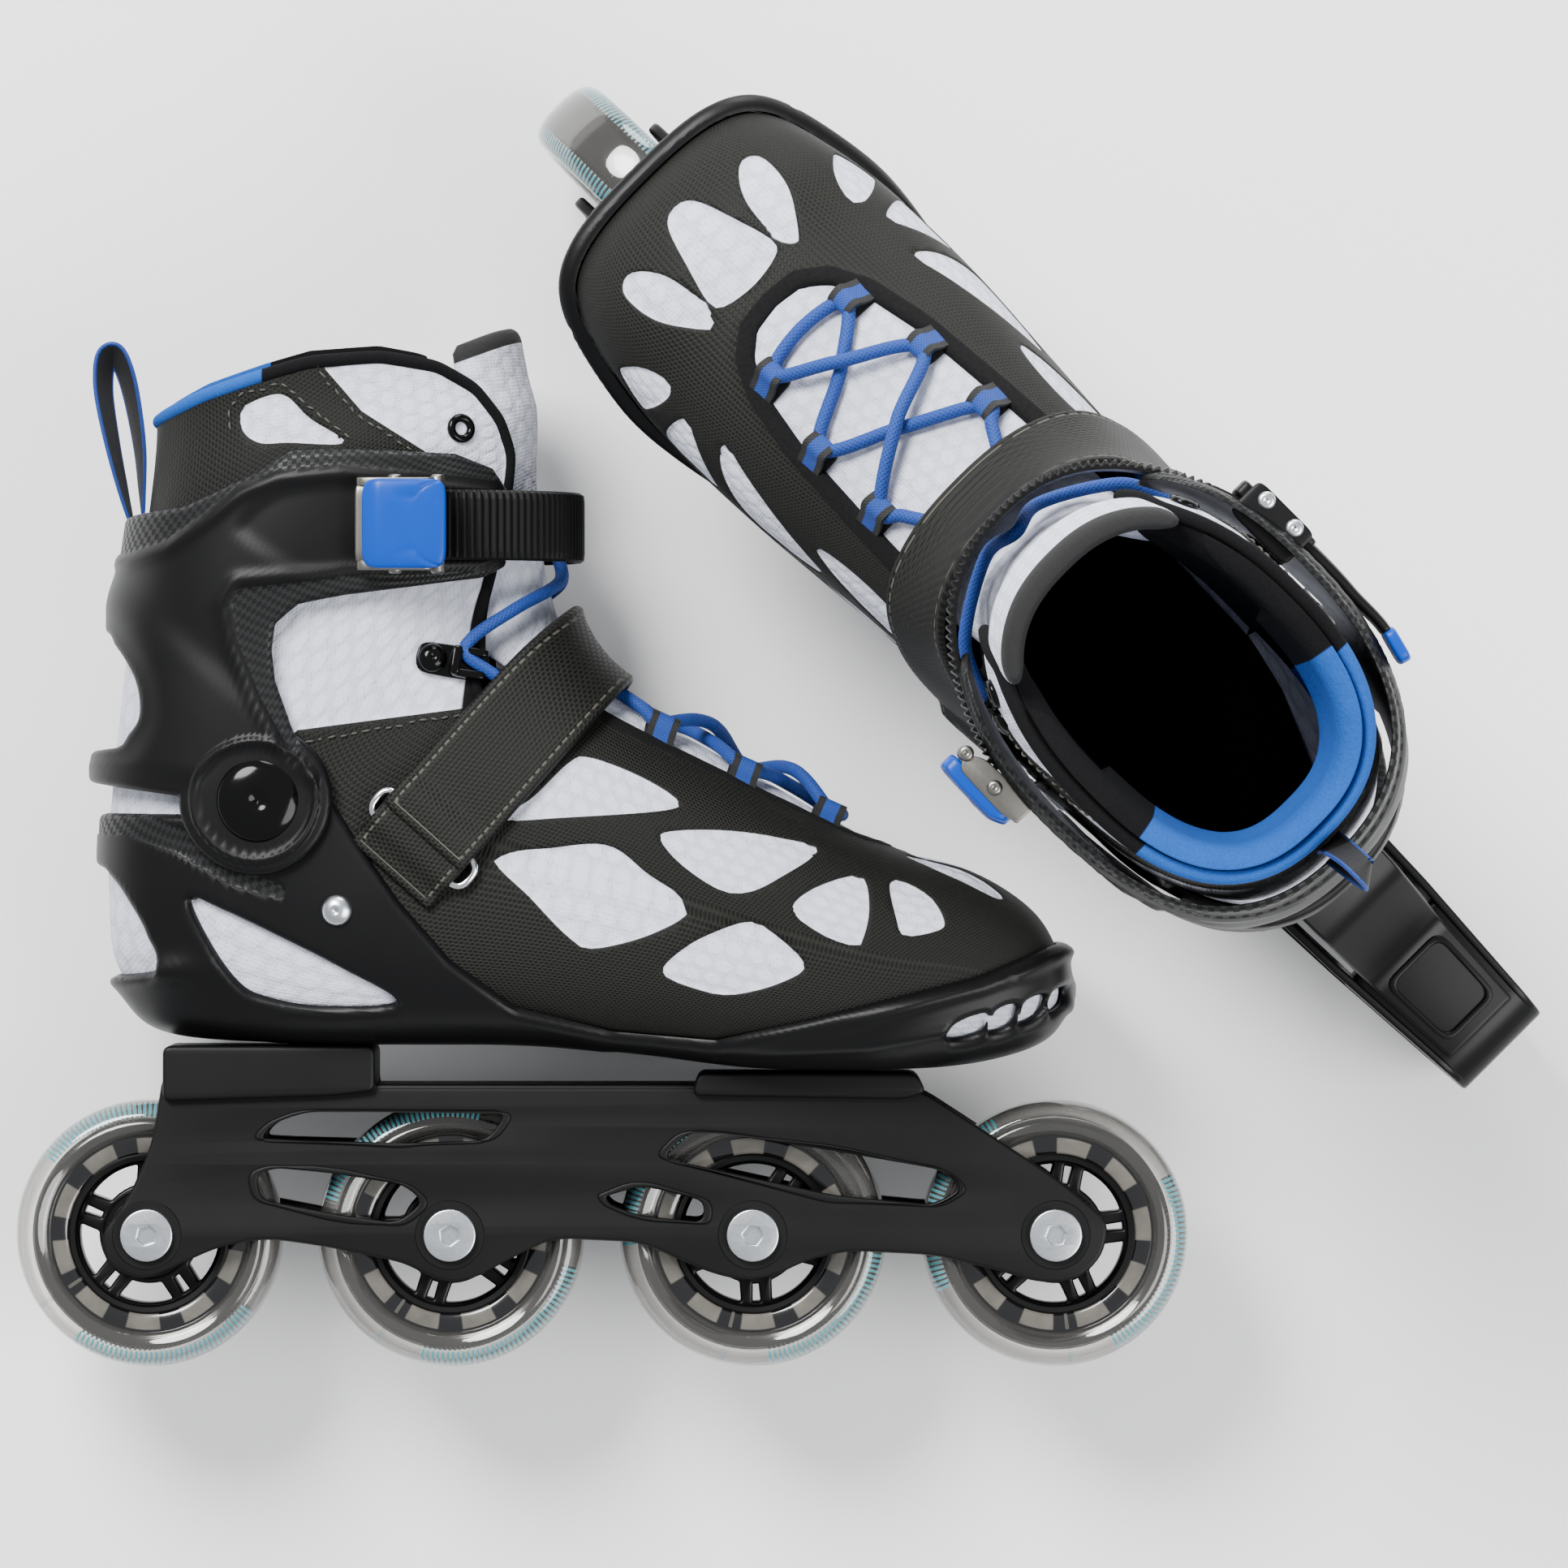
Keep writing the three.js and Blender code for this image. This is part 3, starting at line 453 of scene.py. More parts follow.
def make_emboss():
    """Embossed six-sided cells on a map in millimetres. It puts out a height and the lines between."""
    tree, entry, out = group(
        "honeycomb_emboss",
        [("Map", "NodeSocketVector", None), ("Pitch", "NodeSocketFloat", 1.25)],
        [("Height", "NodeSocketFloat"), ("Line", "NodeSocketFloat")],
    )
    n = Nodes(tree)
    split = n.add("ShaderNodeSeparateXYZ", {0: entry.outputs["Map"]})
    across = n.math("DIVIDE", split.outputs[0], entry.outputs["Pitch"])
    down = n.math("DIVIDE", split.outputs[1], n.math("MULTIPLY", entry.outputs["Pitch"], 0.866))
    row = n.math("FLOOR", down)
    shifted = n.math("ADD", across, n.math("MULTIPLY", row, 0.5))
    fx = n.math("SUBTRACT", n.math("FRACT", shifted), 0.5)
    fy = n.math("SUBTRACT", n.math("FRACT", down), 0.5)
    square = n.math("ADD", n.math("MULTIPLY", fx, fx), n.math("MULTIPLY", fy, fy))
    reach = n.math("SQRT", square)
    dome = n.step(reach, 0.52, 0.25)
    tree.links.new(dome, out.inputs["Height"])
    tree.links.new(n.math("SUBTRACT", 1.0, dome), out.inputs["Line"])
    return tree


def make_checks():
    """A carbon-cloth check on a map in millimetres: squares that are combed in alternate directions."""
    tree, entry, out = group(
        "carbon_checks",
        [("Map", "NodeSocketVector", None), ("Pitch", "NodeSocketFloat", 1.1)],
        [("Height", "NodeSocketFloat"), ("Shade", "NodeSocketFloat")],
    )
    n = Nodes(tree)
    frequency = n.math("DIVIDE", 1.0, entry.outputs["Pitch"])
    combine = n.add("ShaderNodeCombineXYZ", {0: frequency, 1: frequency, 2: frequency}).outputs[0]
    fine = n.add("ShaderNodeVectorMath", {0: entry.outputs["Map"], 1: combine},
        operation="MULTIPLY").outputs[0]
    check = n.add("ShaderNodeTexChecker", {"Vector": fine, "Scale": 1.0}).outputs["Fac"]
    tree.links.new(check, out.inputs["Shade"])
    tree.links.new(check, out.inputs["Height"])
    return tree


def make_moulding():
    """The skin of moulded plastic, in metres: a fine grain with a slow change of gloss."""
    tree, entry, out = group(
        "moulded_skin",
        [("Place", "NodeSocketVector", None), ("Gloss", "NodeSocketFloat", 0.4)],
        [("Height", "NodeSocketFloat"), ("Roughness", "NodeSocketFloat"), ("Wear", "NodeSocketFloat")],
    )
    n = Nodes(tree)
    grain = n.noise(entry.outputs["Place"], 2600.0, 2.0)
    slow = n.noise(entry.outputs["Place"], 28.0, 4.0)
    scuffs = n.noise(entry.outputs["Place"], 260.0, 6.0, 0.7)
    tree.links.new(grain, out.inputs["Height"])
    uneven = n.math("ADD", entry.outputs["Gloss"], n.math("MULTIPLY", n.math("SUBTRACT", slow, 0.5), 0.16))
    tree.links.new(uneven, out.inputs["Roughness"])
    tree.links.new(n.step(scuffs, 0.66, 0.8), out.inputs["Wear"])
    return tree


EMBOSS = make_emboss()
KNIT, CHECKS, MOULDING = make_knit(), make_checks(), make_moulding()


def surface(name, base=None, roughness=0.5, metallic=0.0, **fixed):
    """A new material with one Principled shader. fixed values go straight onto its sockets."""
    material = bpy.data.materials.new(name)
    material.use_nodes = True
    shader = material.node_tree.nodes["Principled BSDF"]
    shader.inputs["Roughness"].default_value = roughness
    shader.inputs["Metallic"].default_value = metallic
    if base:
        shader.inputs["Base Color"].default_value = base
    for key, value in fixed.items():
        shader.inputs[key.replace("_", " ")].default_value = value
    return material, Nodes(material.node_tree), shader


WHITE = colour(0.64, 0.66, 0.74)
# a darker white, used as painted shade in the knit's pinholes and quilting dips
WHITE_IN_PAINTED_SHADE = colour(0.33, 0.35, 0.44)
OVERLAY = colour(0.0045, 0.0045, 0.004)
OVERLAY_LINE = colour(0.013, 0.013, 0.011)
BLACK_CLOTH = colour(0.003, 0.003, 0.0032)
BLACK = colour(0.0032, 0.0032, 0.0035)
BLUE = colour(0.0, 0.045, 0.33)
BLUE_CLOTH = colour(0.001, 0.042, 0.27)
THREAD = colour(0.07, 0.07, 0.058)


def plastic(name, base=BLACK, gloss=0.4, grain=0.12, checks=False):
    """Moulded plastic. With checks, the stretch that the mask "band" covers has a carbon check."""
    material, n, shader = surface(name, Specular_IOR_Level=0.17)
    skin = use(n, MOULDING, Place=n.place(), Gloss=gloss)
    worn = tuple(min(1.0, c * 1.6 + 0.002) for c in base[:3]) + (1.0,)
    tint = n.mix(skin["Wear"], base, worn)
    height, rough = skin["Height"], skin["Roughness"]
    normal = n.bump(height, grain, 0.0001)
    if checks:
        cloth = use(n, CHECKS, Map=n.uv(), Pitch=1.25)
        band = n.step(n.mask("band"), 0.0, 0.3)
        light = n.mix(cloth["Shade"], colour(0.003, 0.003, 0.003), colour(0.014, 0.0145, 0.015))
        tint = n.mix(band, tint, light)
        rough = n.blend(band, rough, n.blend(cloth["Shade"], 0.6, 0.36))
        relief = n.math("MULTIPLY", cloth["Height"], band)
        normal = n.bump(relief, 0.35, 0.0002, normal)
    n.tree.links.new(tint, shader.inputs["Base Color"])
    n.tree.links.new(rough, shader.inputs["Roughness"])
    n.tree.links.new(normal, shader.inputs["Normal"])
    return material


def boot_cloth():
    """The boot's outside: white knitted mesh, a dark embossed overlay where the mask "overlay" is
    positive, and black velour where "velour" is."""
    material, n, shader = surface("boot_mesh_and_overlay", Specular_IOR_Level=0.12)
    map_ = n.uv()
    knit = use(n, KNIT, Map=map_, Pitch=1.0)
    emboss = use(n, EMBOSS, Map=map_, Pitch=1.35)
    overlay = n.step(n.mask("overlay"), -0.12, 0.12)
    velour = n.step(n.mask("velour"), -0.15, 0.15)
    # painted shade: the knit's pinholes and quilting dips are mixed towards the darker white
    white = n.mix(knit["Shade"], WHITE, WHITE_IN_PAINTED_SHADE)
    dark = n.mix(emboss["Line"], OVERLAY, OVERLAY_LINE)
    tint = n.mix(overlay, white, dark)
    fluff = n.noise(n.place(), 900.0, 2.0)
    nap = n.mix(fluff, BLACK_CLOTH, colour(0.009, 0.009, 0.0095))
    tint = n.mix(velour, tint, nap)
    rough = n.blend(overlay, 0.85, n.blend(emboss["Line"], 0.5, 0.62))
    rough = n.blend(velour, rough, 0.95)
    relief = n.blend(overlay, n.math("MULTIPLY", knit["Height"], 1.7),
        n.math("MULTIPLY", emboss["Height"], 0.7))
    relief = n.blend(velour, relief, n.math("MULTIPLY", fluff, 1.0))
    n.tree.links.new(tint, shader.inputs["Base Color"])
    n.tree.links.new(rough, shader.inputs["Roughness"])
    n.tree.links.new(n.bump(relief, 0.55, 0.00035), shader.inputs["Normal"])
    return material


def fleece(name, blue_heel=True):
    """Brushed lining, black all over or blue where the mask "blue" is positive."""
    material, n, shader = surface(name, roughness=0.95, Specular_IOR_Level=0.1)
    fluff = n.noise(n.place(), 1300.0, 4.0, 0.7)
    wide = n.noise(n.place(), 160.0, 3.0)
    blue = n.step(n.mask("blue"), -0.3, 0.3)
    dark = n.mix(fluff, colour(0.002, 0.002, 0.002), colour(0.008, 0.008, 0.009))
    bright = n.mix(fluff, colour(0.006, 0.05, 0.23), colour(0.022, 0.11, 0.42))
    n.tree.links.new(n.mix(blue, dark, bright) if blue_heel else dark, shader.inputs["Base Color"])
    relief = n.math("ADD", fluff, n.math("MULTIPLY", wide, 1.5))
    n.tree.links.new(n.bump(relief, 0.6, 0.0005), shader.inputs["Normal"])
    return material


def knit_cloth():
    material, n, shader = surface("tongue_mesh", roughness=0.88)
    knit = use(n, KNIT, Map=n.uv(), Pitch=1.0)
    dark = n.step(n.mask("velour"), -0.2, 0.2)
    fluff = n.noise(n.place(), 1100.0, 3.0)
    # painted shade: the knit's pinholes and quilting dips are mixed towards the darker white
    white = n.mix(knit["Shade"], WHITE, WHITE_IN_PAINTED_SHADE)
    nap = n.mix(fluff, BLACK_CLOTH, colour(0.009, 0.009, 0.0095))
    n.tree.links.new(n.mix(dark, white, nap), shader.inputs["Base Color"])
    relief = n.blend(dark, n.math("MULTIPLY", knit["Height"], 1.7), fluff)
    n.tree.links.new(n.bump(relief, 0.5, 0.00035), shader.inputs["Normal"])
    return material


def strap_leather():
    """Embossed strap with a row of stitches down each edge. Its map runs along and across, in mm."""
    material, n, shader = surface("strap_leather", Specular_IOR_Level=0.14)
    map_ = n.uv()
    emboss = use(n, EMBOSS, Map=map_, Pitch=1.5)
    tint = n.mix(emboss["Line"], OVERLAY, OVERLAY_LINE)
    seam = n.math("ABSOLUTE", n.mask("stitch"))
    along = n.math("FRACT", n.math("MULTIPLY", n.add("ShaderNodeSeparateXYZ", {0: map_}).outputs[0], 0.36))
    thread = n.math("MULTIPLY", n.step(seam, 0.45, 0.25),
        n.step(n.math("ABSOLUTE", n.math("SUBTRACT", along, 0.5)), 0.36, 0.3))
    groove = n.step(seam, 0.9, 0.3)
    tint = n.mix(thread, tint, THREAD)
    relief = n.math("ADD", n.math("MULTIPLY", emboss["Height"], 0.6), n.math("MULTIPLY", thread, 1.4))
    relief = n.math("SUBTRACT", relief, n.math("MULTIPLY", groove, 0.8))
    n.tree.links.new(tint, shader.inputs["Base Color"])
    n.tree.links.new(n.blend(emboss["Line"], 0.46, 0.6), shader.inputs["Roughness"])
    n.tree.links.new(n.bump(relief, 0.6, 0.0004), shader.inputs["Normal"])
    return material


def braid(name, base, second, pitch):
    """Woven cord or tape: two sets of yarns that cross at a slant on a map in millimetres, with painted
    shade between the yarns.
    """
    material, n, shader = surface(name, roughness=0.75)
    split = n.add("ShaderNodeSeparateXYZ", {0: n.uv()})
    one = n.math("SINE", n.math("MULTIPLY", n.math("ADD", split.outputs[0], split.outputs[1]),
        6.283 / pitch))
    two = n.math("SINE", n.math("MULTIPLY", n.math("SUBTRACT", split.outputs[0], split.outputs[1]),
        6.283 / pitch))
    weave = n.math("ADD", n.math("MULTIPLY", n.math("MAXIMUM", one, two), 0.5), 0.5)
    stripe = n.step(n.mask("stripe"), -0.1, 0.1)
    tint = n.mix(stripe, base, second)
    # painted shade: between the yarns the colour is darkened 62% towards black
    dark = n.mix(0.62, tint, colour(0.0, 0.0, 0.0))
    n.tree.links.new(n.mix(weave, dark, tint), shader.inputs["Base Color"])
    n.tree.links.new(n.bump(weave, 0.5, 0.0003), shader.inputs["Normal"])
    return material


def metal(name, base, roughness, brushed=0.1):
    material, n, shader = surface(name, base, roughness, 1.0)
    grain = n.noise(n.place(), 900.0, 3.0)
    n.tree.links.new(n.blend(grain, roughness, roughness + brushed), shader.inputs["Roughness"])
    n.tree.links.new(n.bump(grain, 0.05, 0.0002), shader.inputs["Normal"])
    return material


def tyre_material():
    """Clear cast urethane with printed dashes round its outer band, in two arcs. The mask "radius" is
    the distance from the wheel's axle, and the map's first value is the angle round it, in turns."""
    material, n, shader = surface("clear_urethane", roughness=0.07, IOR=1.42)
    radius = n.mask("radius")
    turn = n.add("ShaderNodeSeparateXYZ", {0: n.uv()}).outputs[0]
    dash = n.math("FRACT", n.math("MULTIPLY", turn, 150.0))
    arc = n.math("FRACT", n.math("MULTIPLY", turn, 2.0))
    printed = n.math("MULTIPLY", n.step(dash, 0.30, 0.38), n.step(dash, 0.86, 0.78))
    printed = n.math("MULTIPLY", printed,
        n.math("MULTIPLY", n.step(arc, 0.12, 0.125), n.step(arc, 0.62, 0.615)))
    band = n.math("MULTIPLY", n.step(radius, 35.0, 35.3), n.step(radius, 39.3, 39.0))
    printed = n.math("MULTIPLY", printed, band)
    cloud = n.noise(n.place(), 60.0, 3.0)
    clear = n.mix(cloud, colour(0.78, 0.75, 0.69), colour(0.90, 0.88, 0.83))
    n.tree.links.new(n.mix(printed, clear, colour(0.05, 0.25, 0.30)), shader.inputs["Base Color"])
    n.tree.links.new(n.blend(printed, 0.97, 0.12), shader.inputs["Transmission Weight"])
    wobble = n.noise(n.place(), 90.0, 2.0)
    n.tree.links.new(n.bump(wobble, 0.04, 0.0005), shader.inputs["Normal"])
    shader.inputs["Coat Weight"].default_value = 0.6
    shader.inputs["Coat Roughness"].default_value = 0.06
    return material


def core_material():
    """The ring inside the tyre: dark where it is widest, with light windows between ten lugs nearer the
    hub. The mask "radius" is the distance from the wheel's axle."""
    material, n, shader = surface("smoky_core", roughness=0.14)
    turn = n.add("ShaderNodeSeparateXYZ", {0: n.uv()}).outputs[0]
    lug = n.math("ABSOLUTE", n.math("SUBTRACT", n.math("FRACT", n.math("MULTIPLY", turn, 10.0)), 0.5))
    window = n.math("MULTIPLY", n.step(lug, 0.31, 0.27), n.step(n.mask("radius"), 28.9, 28.5))
    cloud = n.noise(n.place(), 140.0, 3.0)
    light = n.mix(cloud, colour(0.045, 0.042, 0.037), colour(0.15, 0.14, 0.12))
    n.tree.links.new(n.mix(window, colour(0.004, 0.004, 0.0045), light), shader.inputs["Base Color"])
    shader.inputs["Coat Weight"].default_value = 0.6
    shader.inputs["Coat Roughness"].default_value = 0.05
    return material


def floor_material():
    return surface("pale_floor", colour(0.93, 0.93, 0.93), 0.9)[0]


MATERIALS = {
    "boot": boot_cloth(),
    "fleece": fleece("lining_fleece"),
    "insole": fleece("insole_fleece", blue_heel=False),
    "tongue": knit_cloth(),
    "strap": strap_leather(),
    "thread": braid("seam_thread", THREAD, THREAD, 0.7),
    "lace": braid("lace_braid", BLUE_CLOTH, BLUE_CLOTH, 1.5),
    "tape": braid("striped_tape", BLACK_CLOTH, BLUE_CLOTH, 1.1),
    "shell": plastic("shell_plastic", gloss=0.4, checks=True),
    "cuff": plastic("cuff_plastic", gloss=0.42, checks=True),
    "frame": plastic("frame_nylon", colour(0.003, 0.003, 0.003), 0.46, 0.25),
    "hub": plastic("hub_nylon", colour(0.003, 0.003, 0.003), 0.34),
    "ladder": plastic("ladder_plastic", colour(0.0035, 0.0035, 0.0035), 0.38),
    "gloss": plastic("gloss_black", colour(0.002, 0.002, 0.002), 0.12, 0.0),
    "lever": plastic("lever_blue", BLUE, 0.3, 0.03),
    "rubber": plastic("brake_rubber", colour(0.004, 0.004, 0.004), 0.6, 0.3),
    "steel": metal("zinc_steel", colour(0.62, 0.65, 0.68), 0.26),
    "dark_steel": metal("dark_steel", colour(0.22, 0.21, 0.19), 0.3),
    "chrome": metal("chrome_wire", colour(0.80, 0.81, 0.83), 0.1, 0.04),
    "tyre": tyre_material(),
    "core": core_material(),
}


# ---- The boot's fabric, lining and tongue --------------------------------------------------------
RIM = np.array([
    [-150, 278], [-133.6, 282.6], [-118, 289.5], [-100.4, 295.1], [-85.8, 299.2], [-65, 300.8],
    [-48.4, 298.2],
    [-37, 291.9], [-29.7, 282.6], [-26.6, 273], [-24, 262],
])  # the collar's top edge in side view
THROAT = np.array([
    [82, 0], [81, 9], [76, 15.5], [66, 20.5], [48, 24], [20, 26], [0, 27], [-40, 27], [-40, -27], [0, -27],
    [20, -26], [48, -24], [66, -20.5], [76, -15.5], [81, -9],
])  # the lace opening from above, x and y
FLAP_FRONT = [
    (-30, 196), (-37, 201), (-35.5, 215), (-33, 235), (-30, 248), (-27.6, 262), (-26.6, 274), (-29.7, 283),
    (-37, 292),
    (-48, 298),
]  # the flaps' front edge in side view, above the strap
GRID_S, GRID_V = np.meshgrid(np.linspace(3, LAST, 330), np.linspace(0.02, math.pi - 0.02, 330),
    indexing="ij")
GRID_POINTS = boot_point(GRID_S, GRID_V)


def nearest(x, z):
    """The boot's parameters s and v at a side-view place."""
    near = np.argmin((GRID_POINTS[..., 0] - x) ** 2 + (GRID_POINTS[..., 2] - z) ** 2)
    return GRID_S.ravel()[near], GRID_V.ravel()[near]


def flap_opening():
    """The half width of the opening at each section: the throat's at its top, then the flaps'."""
    rows = [(7.0, 26.0), (8.0, 27.0), (8.8, 29.0)]
    for x, z in FLAP_FRONT:
        s, v = nearest(x, z)
        if s > rows[-1][0]:
            rows.append((s, boot_point(np.array(s), np.array(v))[1]))
    return np.array(rows)


FLAP = flap_opening()

OVERLAY_EDGE = [
    (-92, 190), (-34.5, 197.7), (-2, 215), (160, 225), (170, 80), (-20, 80), (-50, 118), (-72, 145),
    (-92, 175),
]
COLLAR_EDGE = [
    (-170, 250), (-170, 330), (-83, 330), (-81.7, 297.7), (-70.3, 284.7), (-50.6, 272.2), (-50.6, 262),
    (-110, 262), (-140, 240),
]
WINDOWS = [
    [(85.9, 145.2), (90.5, 145.6), (98.3, 140.7), (102, 133.5), (99, 131), (90, 129.8), (87.7, 135)],
    [(57, 137), (62, 143), (73.7, 147.4), (78.6, 146), (79.6, 137), (77.8, 129), (75.5, 126.7),
    (66, 129.9)],
    [(17.8, 158.8), (23.8, 160.8), (38.4, 160.8), (53, 158.8), (64.5, 155.2), (53, 146.8), (44, 142.6),
     (35.5, 143.2), (23.8, 151)],
    [(18.6, 118.7), (26.3, 126.8), (38.4, 132.4), (45.7, 133.6), (52, 129.8), (60.6, 121), (53, 115.6),
     (39.6, 112.2), (30, 113.4)],
    [(-31.4, 152.9), (-15, 155.4), (2.4, 156.3), (14, 148), (26.6, 138.2), (16, 130.4), (-1.7, 125.8),
     (-9, 129), (-20.5, 140.8)],
    [(99, 96), (101, 105.5), (118, 109.5), (136, 116), (145, 116), (145, 104)],
    [(-29, 164), (-19.9, 170.4), (-9, 180.9), (-2.9, 182.4), (11.7, 177), (23, 169.9), (19, 166.8),
     (-10.2, 164.6)],
]  # side view
TOE_WINDOWS = [
    [(124, 0), (121, 5.5), (108, 10), (96, 13), (92.5, 10), (91, 0), (92.5, -10), (96, -13), (108, -10),
     (121, -5.5)],
    [(90.5, 16.6), (103, 14.8), (113, 17), (119.5, 23), (116.5, 28.4), (106, 28), (97, 23.2)],
]  # from above, x and |y|
COLLAR_WINDOW = [
    (-106.6, 283.6), (-104.6, 286.7), (-94.1, 289.6), (-85.8, 282.6), (-75.4, 275.3), (-92, 275.4),
    (-100.4, 275.3), (-105.5, 278.5),
]
SEAMS = [
    [(-91, 186.5), (-72, 189.5), (-50, 193.5), (-33, 196)],
    [(-83.5, 300), (-83.2, 297), (-72, 283.6), (-52, 271)],
    [(-109.5, 279), (-110, 284.5), (-106.5, 289.6), (-94, 292.8), (-84.5, 285), (-73.6, 276.4)],
]


def opening(skin):
    """How far each point lies from the boot's opening: down from the rim, or out from the throat."""
    x, z = skin.side
    y = np.abs(skin["point"][:, 1])
    rim = np.interp(x, RIM[:, 0], RIM[:, 1])
    below = (rim - z) * 0.94
    vamp = -distance_in(THROAT, x, skin["point"][:, 1])
    flap = y - np.interp(skin["s"], FLAP[:, 0], FLAP[:, 1])
    throat = np.where(skin["s"] < 8, vamp, flap)
    return below, np.where(skin["front"] > 0, throat, 99.0)


def fabric_masks(skin):
    """The signed distances that lay out the overlay and the throat's binding."""
    x, z = skin.side
    y = np.abs(skin["point"][:, 1])
    below, throat = opening(skin)
    skin["throat"] = throat
    skin["depth"] = np.minimum(below, throat)
    overlay = np.maximum(distance_in(OVERLAY_EDGE, x, z), distance_in(COLLAR_EDGE, x, z))
    holes = [distance_in(rounded(w), x, z) for w in WINDOWS + [COLLAR_WINDOW]]
    tops = [distance_in(rounded(w), x, y) for w in TOE_WINDOWS]
    for hole in holes + tops:
        overlay = np.minimum(overlay, -hole)
    skin["overlay"] = overlay
    skin["velour"] = 5.0 - 3.6 * smoothstep(7.6, 9.0, skin["s"]) - np.minimum(throat, below + 1.2)


def boot_fabric(skate):
    """Mesh cloth sunk 0.7 mm under the moulded overlay, with a raised velour edge round the throat. The
    cloth fills each window like a shallow pillow."""
    skin = Skin(185, 176)
    fabric_masks(skin)
    skin.split("depth", 0, keep=True)
    for level in (0.5, 1.6):
        skin.split("depth", level)
    for level in (-0.35, 0.35):
        skin.split("overlay", level)
    for level in (0.0, 0.7):
        skin.split("velour", level)
    overlay, velour = skin["overlay"], skin["velour"]
    pillow = smoothstep(0, 7, -overlay) * 0.5
    height = -0.9 + pillow + 0.75 * smoothstep(-0.35, 0.35, overlay)
    height = height * (1 - smoothstep(-0.5, 0.3, velour)) + 0.25 * smoothstep(-0.2, 0.7, velour)
    height = np.maximum(height, -0.9) - 1.2 * (1 - rounding(skin["depth"], 1.6))
    piece = skin.make(skate, "boot_fabric", "boot", None, height, -3.0, ("overlay", "velour"))
    bend(skate, piece)
    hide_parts(f"{skate.side}_upper")


def bend(skate, piece):
    """Bakes the piece's placement into its mesh. It works out a slab through the ankle pivot, tilted like
    the foot's own crease, but nothing uses it, so the cloth does not follow the cuff.
    """
    tilt = math.radians(30)
    normal = np.array([-math.sin(tilt), 0, math.cos(tilt)])
    pivot = np.array([PIVOT[0], 0, PIVOT[1]])
    start, end = skate.place(pivot - 10 * normal), skate.place(pivot + 28 * normal)
    skate.body("skate")
    skate.body("shaft")
    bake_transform(piece)


def collar_lining(skate):
    """A padded roll inside the collar: a mid surface 4.6 mm in, as thick as a half-round edge at the rim
    and 7 mm further down."""
    skin = Skin(120, 190, 9.0, LAST)
    below, throat = opening(skin)
    skin["depth"] = np.minimum(below + 3.2, throat - 0.6)
    skin["blue"] = -98.0 - skin["point"][:, 0]
    skin["low"] = (skin["point"][:, 2] - PIVOT[1]) - 0.55 * (skin["point"][:, 0] - PIVOT[0]) - 6
    skin.split("depth", 0, keep=True)
    skin.split("low", 0, keep=True)
    for level in (0.4, 1.2, 2.6, 4.4):
        skin.split("depth", level)
    depth = skin["depth"]
    thick = 0.5 + 6.5 * rounding(depth, 6.0) + 5.0 * smoothstep(4, 26,
        depth) * (1 - smoothstep(40, 80, depth))
    piece = skin.make(skate, "collar_lining", "fleece", None, -3.2, -3.2 - thick, ("blue",))
    bend(skate, piece)
    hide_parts(f"{skate.side}_collar_shaft")


def tongue_half(s):
    """Half the tongue's width at each section."""
    return np.interp(s, [4.6, 5.1, 5.5, 6, 7, 8, 10, 12, 15, 18, 19],
        [10, 18, 24, 28, 31, 32, 34, 35, 33, 34, 33])


def tongue(skate):
    """A soft tongue: a grid along the boot's front and across it, 5 mm under the fabric and puffed by
    1.5 mm between its edges. Its top leans forward and is cut to a slanting line in side view."""
    rows, columns = 150, 64
    s = np.linspace(4.7, LAST, rows)
    t = np.linspace(-1, 1, columns)
    s, t = np.meshgrid(s, t, indexing="ij")
    halves = np.interp(s, np.arange(LAST + 1), SECTIONS[:, 4])
    y = t * tongue_half(s)
    v = np.arcsin(np.clip((np.abs(y) / halves) ** 1.2, 0, 1)) * np.sign(y)
    point, normal = boot_point(s, v), boot_normal(s, v)
    skin = Skin.__new__(Skin)
    quads = grid_faces(rows, columns)
    skin.faces = np.concatenate([quads[:, [0, 1, 2]], quads[:, [0, 2, 3]]])
    along = np.concatenate([[0], np.cumsum(np.linalg.norm(np.diff(point[:, columns // 2], axis=0),
        axis=1))])
    forward = 5.0 * smoothstep(14.5, 18.6, s)
    point = point + normal * forward[..., None]
    skin.values = {
        "point": point.reshape(-1, 3), "normal": normal.reshape(-1, 3), "s": s.ravel(), "t": t.ravel(),
        "map": np.stack(np.broadcast_arrays(along[:, None] + 0 * y, y), -1).reshape(-1, 2),
    }
    x, z = skin.side
    top = np.interp(x, [-51.6, -20], [300.2, 312.5]) - z
    edge = (1 - np.abs(skin["t"])) * 30
    skin["depth"] = np.minimum(np.minimum(top, edge), (skin["s"] - 4.7) * 30)
    skin["velour"] = 5.0 - top
    skin.split("depth", 0.05, keep=True)
    for level in (0.5, 1.4, 3.0):
        skin.split("depth", level)
    half = 0.3 + 2.7 * rounding(skin["depth"], 4.5)
    puff = 1.2 * np.cos(skin["t"] * math.pi / 2)
    middle = -5.0 - 2.2 * smoothstep(8.5, 10.5, skin["s"])
    piece = skin.make(skate, "tongue_pad", "tongue", None, middle + half + puff, middle - half, ("velour",))
    bend(skate, piece)
    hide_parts(f"{skate.side}_tongue")


